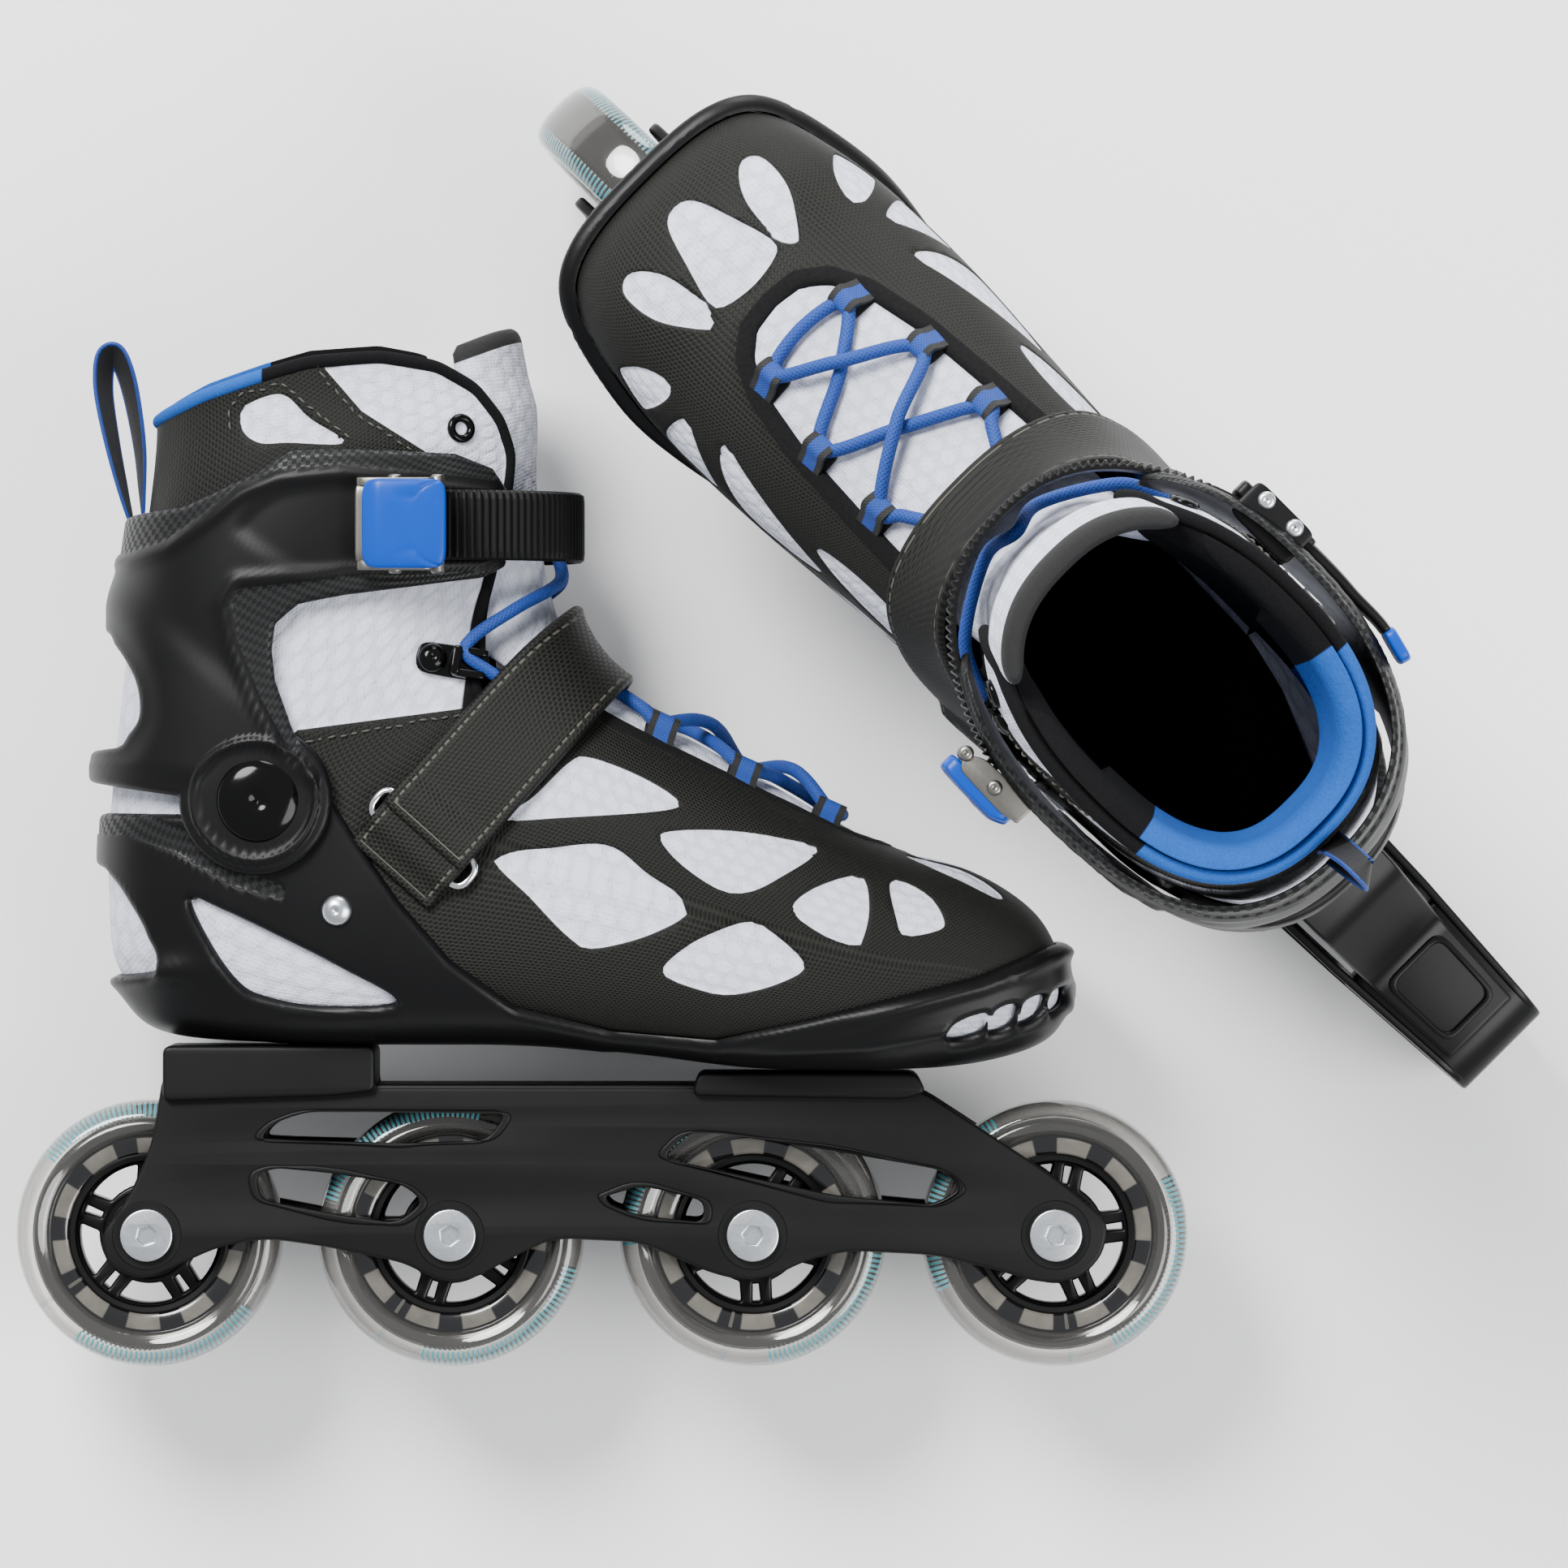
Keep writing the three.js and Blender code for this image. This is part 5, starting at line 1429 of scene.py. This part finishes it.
def lace(skate):
    """Round braided lace: it runs straight across at the toe, then crosses twice up the throat."""
    toe, middle, ankle = LACE_LOOPS
    over = 5.2
    half_way = lambda a, b: (a[0] + b[0]) / 2
    route = [
        (ankle[0] - 16, ankle[1] - 9, -1.0), (ankle[0] - 6, ankle[1] - 3, 0.2), (*ankle, 0.4),
        (half_way(ankle, middle), 0, 0.2), (middle[0], -middle[1], 0.4), (half_way(middle, toe), 0, 0.2),
        (*toe, 0.4), (toe[0] + 4, 0, 0.2), (toe[0], -toe[1], 0.4), (half_way(middle, toe), 0, over),
        (middle[0], middle[1], 0.4), (half_way(ankle, middle), 0, over), (ankle[0], -ankle[1], 0.4),
        (ankle[0] - 6, -(ankle[1] - 3), 0.2), (ankle[0] - 16, -(ankle[1] - 9), -1.0),
    ]
    x, y, lift = spline(np.array(route), 420).T
    point, normal = on_vamp(x, y)
    path = point + normal * (1.7 + lift * 0.9)[:, None]
    points, faces, uv = cord(path, 2.0, normal, sides=16)
    piece = new_mesh(skate, "lace_cord", points, faces, MATERIALS["lace"], "skate", uv)
    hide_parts(f"{skate.side}_lace")


def upper_lace(skate):
    """The lace above the strap: from each hook it rises round the front of the tongue."""
    route = []
    for way in (-1, 1):
        stops = [(-24, 198, 1.6), (-31, 205.5, 1.8), (-40, 212, 3.2), (-38, 217.5, 3.0), (-26, 226, 2.6),
            (-14.5, 234.5, 1.8)]
        part = []
        for x, z, lift in stops:
            point, _, _, normal = on_side(x, z, way)
            part.append(point + normal * lift)
        route += part if way == -1 else part[::-1]
        if way == -1:
            front, _, _, normal = on_side(-14.0, 243.0, 1)
            route.append([front[0] + 1.0, 0.0, 243.0])
    path = spline(route, 300)
    points, faces, uv = cord(path, 1.9, (0.3, 0.0, 1.0), sides=14)
    piece = new_mesh(skate, "upper_lace", points, faces, MATERIALS["lace"], None, uv)
    bend(skate, piece)


def lace_loops(skate):
    """Webbing loops down both edges of the throat: short striped bands that come out from under the
    velour and fold back round the lace."""
    parts, uvs, stripes = [], [], []
    wrap = spline([(9, -1.6), (4, 1.6), (1, 4.5), (-2.2, 3.7), (-2.7, 1.8), (-0.5, -0.4), (4, -1.2),
        (8, -2.4)], 44)
    for x, half in LACE_LOOPS:
        for way in (-1, 1):
            point, normal = on_vamp(np.full(len(wrap), x), way * (half + wrap[:, 0]))
            path = point + normal * wrap[:, 1:]
            up, side = guide(path, (1.0, 0.0, -0.45))
            wide, thick = 4.4, 0.45
            section = np.array([(-wide, -thick), (0, -thick), (wide, -thick), (wide, thick), (0, thick),
                (-wide, thick)])
            p, f, uv = sweep(path, side, up, section)
            across = np.tile(section[:, 0], len(path))
            stripe = 2.3 - np.abs(np.concatenate([across, [0, 0]]))
            parts.append((p, f))
            uvs.append(uv)
            stripes.append(stripe)
    points, faces = combine(*parts)
    masks = {"stripe": np.concatenate(stripes)}
    piece = new_mesh(skate, "lace_loops", points, faces, MATERIALS["tape"], "skate", np.concatenate(uvs),
        masks, False)


def hook(skate):
    """A black speed hook on each side: a pressed plate, a domed rivet at its rear and a raised lip."""
    for way, label in ((-1, "inner"), (1, "outer")):
        point, ex, ez, normal = on_side(-44.0, 210.5, way)
        tilt = math.radians(-8)
        a = ex * math.cos(tilt) + ez * math.sin(tilt)
        b = ez * math.cos(tilt) - ex * math.sin(tilt)
        plate = filleted([(-11, -4.6), (2, -5.0), (10, -4.4), (11, 0), (10, 4.4), (2, 5.0), (-11, 4.6)],
            4.0)
        p, f = moulded(plate, [], 0.7, 0.45)
        parts = [(put(p + [0, 0, 1.0], point, a, b, normal), f)]
        dome = [(0.01, 0.6), (4.4, 0.6), (4.3, 1.7), (3.6, 2.8), (2.2, 3.6), (0.01, 3.9)]
        p, f = turned(dome, 40)
        parts.append((put(p + [-6.2, 0, 0.6], point, a, b, normal), f))
        for w in (-3.4, 3.4):
            p, f = soft_box(5.2, 1.3, 1.9, 0.5)
            parts.append((put(p + [4.8, w, 3.0], point, a, b, normal), f))
        p, f = soft_box(1.5, 4.4, 1.5, 0.5)
        parts.append((put(p + [0.6, 0, 4.4], point, a, b, normal), f))
        points, faces = combine(*parts)
        piece = new_mesh(skate, f"lace_hook_{label}", points, faces, MATERIALS["gloss"])
        bend(skate, piece)


def eyelets(skate):
    """A black ring with an open middle near the top of each flap."""
    for way, label in ((-1, "inner"), (1, "outer")):
        point, ex, ez, normal = on_side(-41.0, 280.0, way)
        ring = [(1.9, -0.6), (4.3, -0.6), (4.4, 0.3), (3.9, 1.0), (3.1, 1.2), (2.3, 0.9), (1.9, 0.2)]
        p, f = turned(ring, 44)
        points = put(p, point, ex, ez, normal)
        piece = new_mesh(skate, f"eyelet_{label}", points, f, MATERIALS["gloss"], "shaft")
        p, f = turned([(0.01, -0.9), (2.1, -0.9), (2.1, -0.5), (0.01, -0.5)], 24)
        piece = new_mesh(skate, f"eyelet_mesh_{label}", put(p, point, ex, ez, normal), f,
            MATERIALS["steel"], "shaft")


def pivot_caps(skate):
    """A glossy domed cap on each ankle pivot and a bright rivet low on each side of the shell."""
    for way, label in ((-1, "inner"), (1, "outer")):
        point, ex, ez, normal = on_side(PIVOT[0], PIVOT[1], way)
        normal = np.array([0.0, way, 0.0])
        ex, ez = np.array([1.0, 0, 0]), np.array([0, 0, 1.0])
        cap = [(0.01, 6.0), (12.4, 6.0), (12.4, 7.6), (11.6, 8.6), (9.0, 9.6), (5.0, 10.2), (0.01, 10.4)]
        p, f = turned(cap, 72)
        piece = new_mesh(skate, f"pivot_cap_{label}", put(p, point, ex, ez, normal), f, MATERIALS["gloss"],
            "shaft")
        point, ex, ez, normal = on_side(-77.6, 137.7, way)
        rivet = [(0.01, 2.8), (4.5, 2.8), (4.5, 4.1), (3.9, 5.0), (2.2, 5.9), (0.01, 6.2)]
        p, f = turned(rivet, 40)
        piece = new_mesh(skate, f"shell_rivet_{label}", put(p, point, ex, ez, normal), f,
            MATERIALS["steel"], "skate")


def seam_stitches(skate):
    """The sewn seams on both sides: short threads that arch out of the overlay, 3.4 mm apart."""
    arch = np.linspace(-1, 1, 7)
    parts = []
    for seam in SEAMS:
        seam = np.array(seam, float)
        run = np.concatenate([[0], np.cumsum(np.hypot(*np.diff(seam, axis=0).T))])
        places = np.arange(1.7, run[-1], 3.4)
        for way in (-1, 1):
            for at in places:
                ends = [[np.interp(at + k, run, seam[:, i]) for i in (0, 1)] for k in (-1.1, 1.1)]
                (a, _, _, normal), (b, _, _, _) = (on_side(x, z, way) for x, z in ends)
                path = (a + b) / 2 + np.outer(arch, b - a) / 2 + np.outer(0.35 - 0.45 * arch**2, normal)
                parts.append(cord(path, 0.34, normal, sides=6)[:2])
    points, faces = combine(*parts)
    piece = new_mesh(skate, "seam_stitches", points, faces, MATERIALS["thread"])
    bend(skate, piece)


def pull_tab(skate):
    """A loop of tape sewn up the back of the collar, black with blue edges."""
    route = np.array([
        (-137.5, 0, 252), (-137.9, 0, 262), (-138.6, 0, 275), (-141.0, 0, 290), (-143.5, 0, 299),
        (-146.2, 0, 303.6),
        (-149.0, 0, 301.5), (-149.5, 0, 292), (-147.0, 0, 277), (-143.6, 0, 262), (-141.0, 0, 252),
    ])
    path = spline(route, 120)
    side, up = guide(path, (0.0, 1.0, 0.0))
    twist = math.radians(40) * np.sin(np.linspace(0, math.pi, len(path)))[:, None]
    side, up = side * np.cos(twist) + up * np.sin(twist), up * np.cos(twist) - side * np.sin(twist)
    wide, thick = 4.4, 0.5
    section = [(-thick, -wide), (-thick, 0), (-thick, wide), (thick, wide), (thick, 0), (thick, -wide)]
    p, f, uv = sweep(path, side, up, section)
    across = np.concatenate([np.tile([wide, 0, wide, wide, 0, wide], len(path)), [0, 0]])
    piece = new_mesh(skate, "pull_tab", p, f, MATERIALS["tape"], "shaft", uv, {"stripe": across - 3.7},
        False)


def binding(skate):
    """A narrow rolled edge round the collar's rim and down both flaps, blue at the heel."""
    s = np.linspace(9.2, 18.9, 500)
    rows = []
    for way in (-1, 1):
        half = np.interp(s, np.arange(LAST + 1), SECTIONS[:, 4])
        y = np.interp(s, FLAP[:, 0], FLAP[:, 1])
        v = np.arcsin(np.clip((y / half) ** 1.2, 0, 1)) * way
        point, normal = boot_point(s, v), boot_normal(s, v)
        over = point[:, 2] > np.interp(point[:, 0], RIM[:, 0], RIM[:, 1])
        stop = np.argmax(over)
        rows.append((s[:stop], v[:stop]))
    v = np.concatenate([np.linspace(rows[1][1][-1], math.pi, 260),
        np.linspace(-math.pi, rows[0][1][-1], 260)[1:]])
    low, high = np.full(v.shape, 14.0), np.full(v.shape, float(LAST))
    for _ in range(30):
        mid = (low + high) / 2
        point = boot_point(mid, v)
        over = point[:, 2] > np.interp(point[:, 0], RIM[:, 0], RIM[:, 1])
        low, high = np.where(over, low, mid), np.where(over, mid, high)
    s = np.concatenate([rows[1][0], mid, rows[0][0][::-1]])
    v = np.concatenate([rows[1][1], v, rows[0][1][::-1]])
    point, normal = boot_point(s, v), boot_normal(s, v)
    path = point - normal * 0.8
    step = np.concatenate([[0], np.cumsum(np.linalg.norm(np.diff(path, axis=0), axis=1))])
    even = np.linspace(0, step[-1], 420)
    path = np.stack([np.interp(even, step, path[:, i]) for i in range(3)], 1)
    normal = np.stack([np.interp(even, step, normal[:, i]) for i in range(3)], 1)
    for _ in range(6):
        path[1:-1] = (path[:-2] + 2 * path[1:-1] + path[2:]) / 4
    p, f, uv = cord(path, 2.0, normal, sides=14)
    piece = new_mesh(skate, "collar_binding", p, f, MATERIALS["fleece"], None, uv,
        {"blue": -100.0 - p[:, 0]})
    bend(skate, piece)


# ---- Frame, wheels and brake ---------------------------------------------------------------------
CHANNEL_HALF, PLATE_WALL = 14.0, 3.5
PLATE_EDGE = [
    (-130.6, 88), (-132, 80), (-134, 67), (-141.5, 50), (-149.5, 40), (-147.5, 31), (-137, 26), (-124, 32),
    (-113.6, 36.6),
    (-100, 39), (-83, 36.6), (-59, 31.7), (-51, 27.5), (-44.7, 25.6), (-37, 27.4), (-29.7, 31.5), (-15, 39),
    (11.7, 37.8),
    (31, 29.3), (38, 27.2), (45.2, 26.4), (53, 28.4), (60.3, 32), (72.5, 35.3), (99, 34), (118.7, 29.3),
    (128, 26.4),
    (135.5, 25.6), (143.5, 27.6), (149.5, 34), (151.5, 44), (135.7, 57), (111.4, 73), (94.4, 84), (29, 84),
    (-67, 84),
    (-67.4, 88),
]
PLATE_SLOTS = [
    [(-102, 68.6), (-97, 73.6), (-88, 76.7), (-28, 76.4), (-34, 68.2), (-60, 67.4)],
    [(-103, 58), (-97, 60), (-80, 58.4), (-58.9, 55), (-53, 50), (-60.6, 43.6), (-78, 46), (-101.5, 50.5)],
    [(18, 63), (25.8, 70.6), (37, 70.1), (70, 65), (101.4, 59.4), (107.5, 54), (99, 49), (69, 51.9)],
    [(1, 51.5), (12.2, 54.8), (30.6, 50.2), (30.4, 43.9), (12, 45.6), (2.9, 49)],
]


def skate_frame(skate):
    """The nylon frame: two side plates with round edges, rims round their openings, thick axle bosses,
    and a deck with two mounting pads."""
    edge = filleted(PLATE_EDGE, 6.0)
    holes = [filleted(hole, 4.0) for hole in PLATE_SLOTS]
    middle = CHANNEL_HALF + PLATE_WALL / 2
    plate = moulded(edge, holes, PLATE_WALL / 2, 1.1, 3)
    parts = []
    for way in (-1, 1):
        parts.append(side_on(plate, way * middle))
        for x in skate.wheel_x:
            boss = [(4.4, 0), (10.8, 0), (10.8, 0.8), (10.1, 1.5), (4.4, 1.5)]
            p, f = turned(boss, 56)
            p[:, 2] *= way
            parts.append(side_on((p, f), way * (middle + PLATE_WALL / 2 - 1.2), x, WHEEL_RADIUS))
        for hole in holes:
            centre = hole.mean(0)
            grown = centre + (hole - centre) * (1 + 2.6 / np.maximum(np.linalg.norm(hole - centre, axis=1),
                8))[:, None]
            rim = moulded(grown, [hole], 0.8, 0.55, 2)
            parts.append(side_on(rim, way * (middle + PLATE_WALL / 2 - 0.1)))
    pads = [
        ([(-130.6, 80), (-130.6, 96.4), (-67.4, 96.4), (-67.4, 83), (-80, 81.6)], 20.8),
        ([(-80, 81.6), (-80, 85), (40, 85), (40, 81.6)], 17.3),
        ([(27, 81.6), (28.7, 88.4), (94, 88.4), (97, 82.5), (90, 80.5)], 20.8),
    ]
    for pad, half in pads:
        parts.append(side_on(moulded(filleted(pad, 2.5), [], half, 1.2, 3)))
    points, faces = combine(*parts)
    piece = new_mesh(skate, "chassis", points, faces, MATERIALS["frame"], "skate")
    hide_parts(f"{skate.side}_frame")
    shade_flat_by_angle(piece)


def shade_flat_by_angle(piece, degrees=38):
    """Keeps edges sharper than an angle sharp under smooth shading."""
    mesh = piece.data
    mesh.set_sharp_from_angle(angle=math.radians(degrees))


def sectors(from_turn, to_turn, inner, outer, inner_turn=0.0):
    """An outline between two radii and two angles; inner_turn narrows it at its inner radius."""
    out = np.linspace(from_turn, to_turn, 12)
    into = np.linspace(to_turn - inner_turn, from_turn + inner_turn, 8)
    return np.concatenate([
        np.stack([outer * np.cos(out), outer * np.sin(out)], 1),
        np.stack([inner * np.cos(into), inner * np.sin(into)], 1),
    ])


def wheel_shapes():
    """The parts of one wheel about its own axle: cast tyre, smoky core, spoked hub and bearings."""
    half_profile = [(29.4, 9.2), (30.5, 10.6), (32.5, 11.6), (34.7, 12.0), (36.6, 11.3), (38.2, 9.7),
        (39.3, 7.2), (39.85, 4.0), (40.0, 0)]
    profile = spline(half_profile + [(r, -y) for r, y in half_profile[-2::-1]], 70)
    tyre = turned(profile, 160)
    core_half = [(23.9, 8.6), (24.6, 9.1), (28.8, 9.1), (29.8, 8.8), (31, 9.9), (33.6, 10.8), (34.5, 9.8)]
    core = turned(core_half + [(r, -y) for r, y in core_half[::-1]], 160)
    rim = turned([(21.4, 8.2), (22.0, 9.0), (23.4, 9.2), (24.0, 8.7), (24.0, -8.7), (23.4, -9.2),
        (22.0, -9.0), (21.4, -8.2)], 120)
    barrel = turned([(11.1, 11.0), (11.5, 11.6), (12.9, 11.6), (13.6, 10.6), (13.6, -10.6), (12.9, -11.6),
        (11.5, -11.6), (11.1, -11.0)], 96)
    windows = []
    for k in range(5):
        turn = 2 * math.pi * k / 5 + math.pi / 2
        windows.append(filleted(sectors(turn - 0.40, turn + 0.40, 15.0, 20.8, 0.10), 2.2, 3))
        gap = turn + math.pi / 5
        windows.append(filleted(sectors(gap - 0.055, gap + 0.055, 15.2, 20.4), 0.8, 3))
    web = moulded(circle(22.4, 120), windows + [circle(12.4, 60)], 5.2, 0.9)
    hub = combine(rim, barrel, web)
    shield = [(4.3, 11.5), (5.6, 11.8), (6.2, 11.3), (9.6, 11.3), (9.9, 11.8), (10.9, 11.7), (10.9, 8.0),
        (4.3, 8.0)]
    bearings = combine(turned(shield, 60), turned([(r, -y) for r, y in shield], 60),
        turned([(4.3, 8), (5.6, 8), (5.6, -8), (4.3, -8)], 40))
    return tyre, core, hub, bearings


def wheels(skate):
    tyre, core, hub, bearings = wheel_shapes()
    for i, x in enumerate(skate.wheel_x, 1):
        spin = 0.37 * i + (1.1 if skate.mirrored else 0.2)
        turn_ = np.array([[math.cos(spin), math.sin(spin), 0], [-math.sin(spin), math.cos(spin), 0],
            [0, 0, 1]])
        for name, part, material, node, slot in (
            ("urethane", tyre, "tyre", "tyre", "tyre"), ("core_ring", core, "core", None, "tyre"),
            ("wheel_hub", hub, "hub", "hub", "hub"),
            ("bearing_pair", bearings, "steel", "bearings", "steel"),
        ):
            p, f = part
            radius = np.hypot(p[:, 0], p[:, 1])
            angle = np.arctan2(p[:, 1], p[:, 0]) / (2 * math.pi) + 0.5
            placed = side_on((p @ turn_, f), 0, x, WHEEL_RADIUS)
            masks = {"radius": radius} if material in ("tyre", "core") else None
            uv = np.stack([angle, radius], 1)
            piece = new_mesh(skate, f"{name}_{i}", placed[0], placed[1], MATERIALS[material], f"wheel_{i}",
                uv, masks)
            if node:
                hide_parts(f"{skate.side}_{node}_{i}")
            if name == "wheel_hub":
                shade_flat_by_angle(piece, 45)


def axle_bolts(skate):
    """A bolt through each wheel: a chamfered round head with a six-sided socket on both sides."""
    brake = skate.mirrored
    for i, x in enumerate(skate.wheel_x, 1):
        reach = CHANNEL_HALF + PLATE_WALL + 0.4 + (3.4 if brake and i == 1 else 0.0)
        socket = circle(2.95, 6, start=0.3 * i)
        head = moulded(circle(7.8, 64), [socket], 1.1, 0.5, 3)
        floor_ = turned([(0.01, -0.9), (3.4, -0.9), (3.4, -0.5), (0.01, -0.5)], 24)
        shaft = turned([(0.01, -reach), (4.0, -reach), (4.0, reach), (0.01, reach)], 32)
        parts = [side_on(shaft, 0, x, WHEEL_RADIUS)]
        for way in (-1, 1):
            for p, f in (head, floor_):
                p = p * [1, 1, way]
                parts.append(side_on((p, f), way * (reach + 1.1), x, WHEEL_RADIUS))
        points, faces = combine(*parts)
        piece = new_mesh(skate, f"axle_bolt_{i}", points, faces, MATERIALS["steel"], "skate")
        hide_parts(f"{skate.side}_axle_{i}")
        shade_flat_by_angle(piece, 30)


def heel_brake(skate):
    """The brake behind the standing skate: two arms on the rear axle, a ribbed cover and a rubber pad."""
    rear = skate.wheel_x[0]
    end, clear = rear - 92.5, rear - 44.0
    narrow = lambda p: p * np.column_stack([p[:, 0] * 0 + 1,
        np.interp(p[:, 0], [end, clear + 22], [0.78, 1]), p[:, 0] * 0 + 1])
    arm = filleted([
        (rear + 14, 36), (rear + 13, 50), (rear, 56), (clear, 53), (end + 8, 50.5), (end, 44), (end, 27.6),
        (clear, 27.6),
        (rear - 8, 28), (rear + 6, 27),
    ], 5.0)
    parts = [side_on(moulded(arm, [], 1.5, 0.9, 3), way * 19.4) for way in (-1, 1)]
    cover = filleted([(clear, 52), (end + 8, 50), (end, 44), (end, 27.6), (clear, 27.6)], 4.0)
    parts.append(side_on(moulded(cover, [], 20.6, 1.4, 3)))
    inset = filleted([(clear - 8, -13), (end + 14, -13), (end + 14, 13), (clear - 8, 13)], 5.0)
    p, f = moulded(inset, [filleted([(clear - 10, -11), (end + 16, -11), (end + 16, 11), (clear - 10, 11)],
        4.0)], 0.9, 0.5)
    height = np.interp(p[:, 0], [end + 8, clear], [50.0, 52.0])
    parts.append((np.stack([p[:, 0], p[:, 1], height + 2.6 + p[:, 2]], 1), f))
    fender = filleted([
        (rear - 12, 84.5), (rear - 30, 78), (rear - 43, 63), (clear - 6, 54.5), (end + 10, 52.5),
        (end + 10, 49),
        (clear - 4, 50), (rear - 41, 59.5), (rear - 28.5, 75), (rear - 13, 81.5),
    ], 4.0)
    parts.append(side_on(moulded(fender, [], 16.0, 1.0, 3)))
    points, faces = combine(*parts)
    points = narrow(points)
    piece = new_mesh(skate, "brake_housing", points, faces, MATERIALS["hub"], "skate")
    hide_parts(f"{skate.side}_brake_arm")
    shade_flat_by_angle(piece)
    pad = filleted([(rear - 46, 27), (end + 1, 27), (end - 1, 12), (rear - 48, 6)], 2.0)
    p, f = side_on(moulded(pad, [], 17.0, 1.2, 3))
    p = narrow(p)
    piece = new_mesh(skate, "rubber_stop", p, f, MATERIALS["rubber"], "skate")
    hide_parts(f"{skate.side}_brake_pad")
    shade_flat_by_angle(piece)


# ---- Assembly ------------------------------------------------------------------------------------
for one in SKATES:
    for make in (
        boot_fabric, collar_lining, tongue, binding, base_shell, cuff, power_strap, strap_ring,
        ladder_strap, buckle,
        closing_lever, pins, seam_stitches, lace, upper_lace, lace_loops, hook, eyelets, pivot_caps,
        pull_tab, skate_frame, wheels,
        axle_bolts,
    ):
        make(one)
    if one.mirrored:
        heel_brake(one)

CAD_FINISH = {
    "frame": "frame", "brake_arm": "frame", "base_shell": "shell", "cuff": "cuff", "footbed": "insole",
    "power_strap": "strap", "ladder_strap": "ladder", "closing_lever": "ladder", "buckle_body": "steel",
    "release_lever": "lever", "lace": "lace", "brake_pad": "rubber", "hub": "hub", "bearings": "steel",
    "axle": "steel", "tyre": "tyre",
}
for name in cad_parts:
    kind = name.split("_", 1)[1].rstrip("_1234")
    piece = bpy.data.objects.get(name)
    if piece and kind in CAD_FINISH:
        for slot in piece.material_slots:
            slot.material = MATERIALS[CAD_FINISH[kind]]


# ---- Floor, light and camera ---------------------------------------------------------------------
def floor():
    size = 4.0
    corners = [(-size, -size, 0), (size, -size, 0), (size, size, 0), (-size, size, 0)]
    mesh = bpy.data.meshes.new("floor")
    mesh.from_pydata(corners, [], [(0, 1, 2, 3)])
    mesh.materials.append(floor_material())
    piece = bpy.data.objects.new("floor", mesh)
    bpy.context.scene.collection.objects.link(piece)


def lamp(name, place, target, size, power):
    data = bpy.data.lights.new(name, "AREA")
    data.shape = "DISK"
    data.size = size
    data.energy = power
    lamp_object = bpy.data.objects.new(name, data)
    lamp_object.location = place
    aim = Vector(target) - Vector(place)
    lamp_object.rotation_euler = aim.to_track_quat("-Z", "Y").to_euler()
    bpy.context.scene.collection.objects.link(lamp_object)


def lights():
    world = bpy.data.worlds.new("studio")
    world.use_nodes = True
    background = world.node_tree.nodes["Background"]
    background.inputs["Color"].default_value = colour(0.95, 0.97, 1.0)
    background.inputs["Strength"].default_value = 0.6
    bpy.context.scene.world = world
    lamp("key", (-0.9, 1.3, 1.9), (0, 0, 0.05), 1.1, 120)
    lamp("fill", (1.3, -0.6, 1.6), (0, 0, 0.05), 1.4, 52)
    lamp("edge", (0.2, 1.8, 0.5), (0, 0, 0.1), 0.8, 26)


def camera():
    """Straight above the pair, far enough away for a flat view."""
    data = bpy.data.cameras.new("camera")
    data.sensor_width = 36
    distance, wide, plane = 3.0, 0.470, 0.058
    data.lens = 36 * distance / wide
    data.clip_end = 20
    view = bpy.data.objects.new("camera", data)
    view.location = (-0.0008, -0.0169, plane + distance)
    bpy.context.scene.collection.objects.link(view)
    bpy.context.scene.camera = view


floor()
lights()
camera()
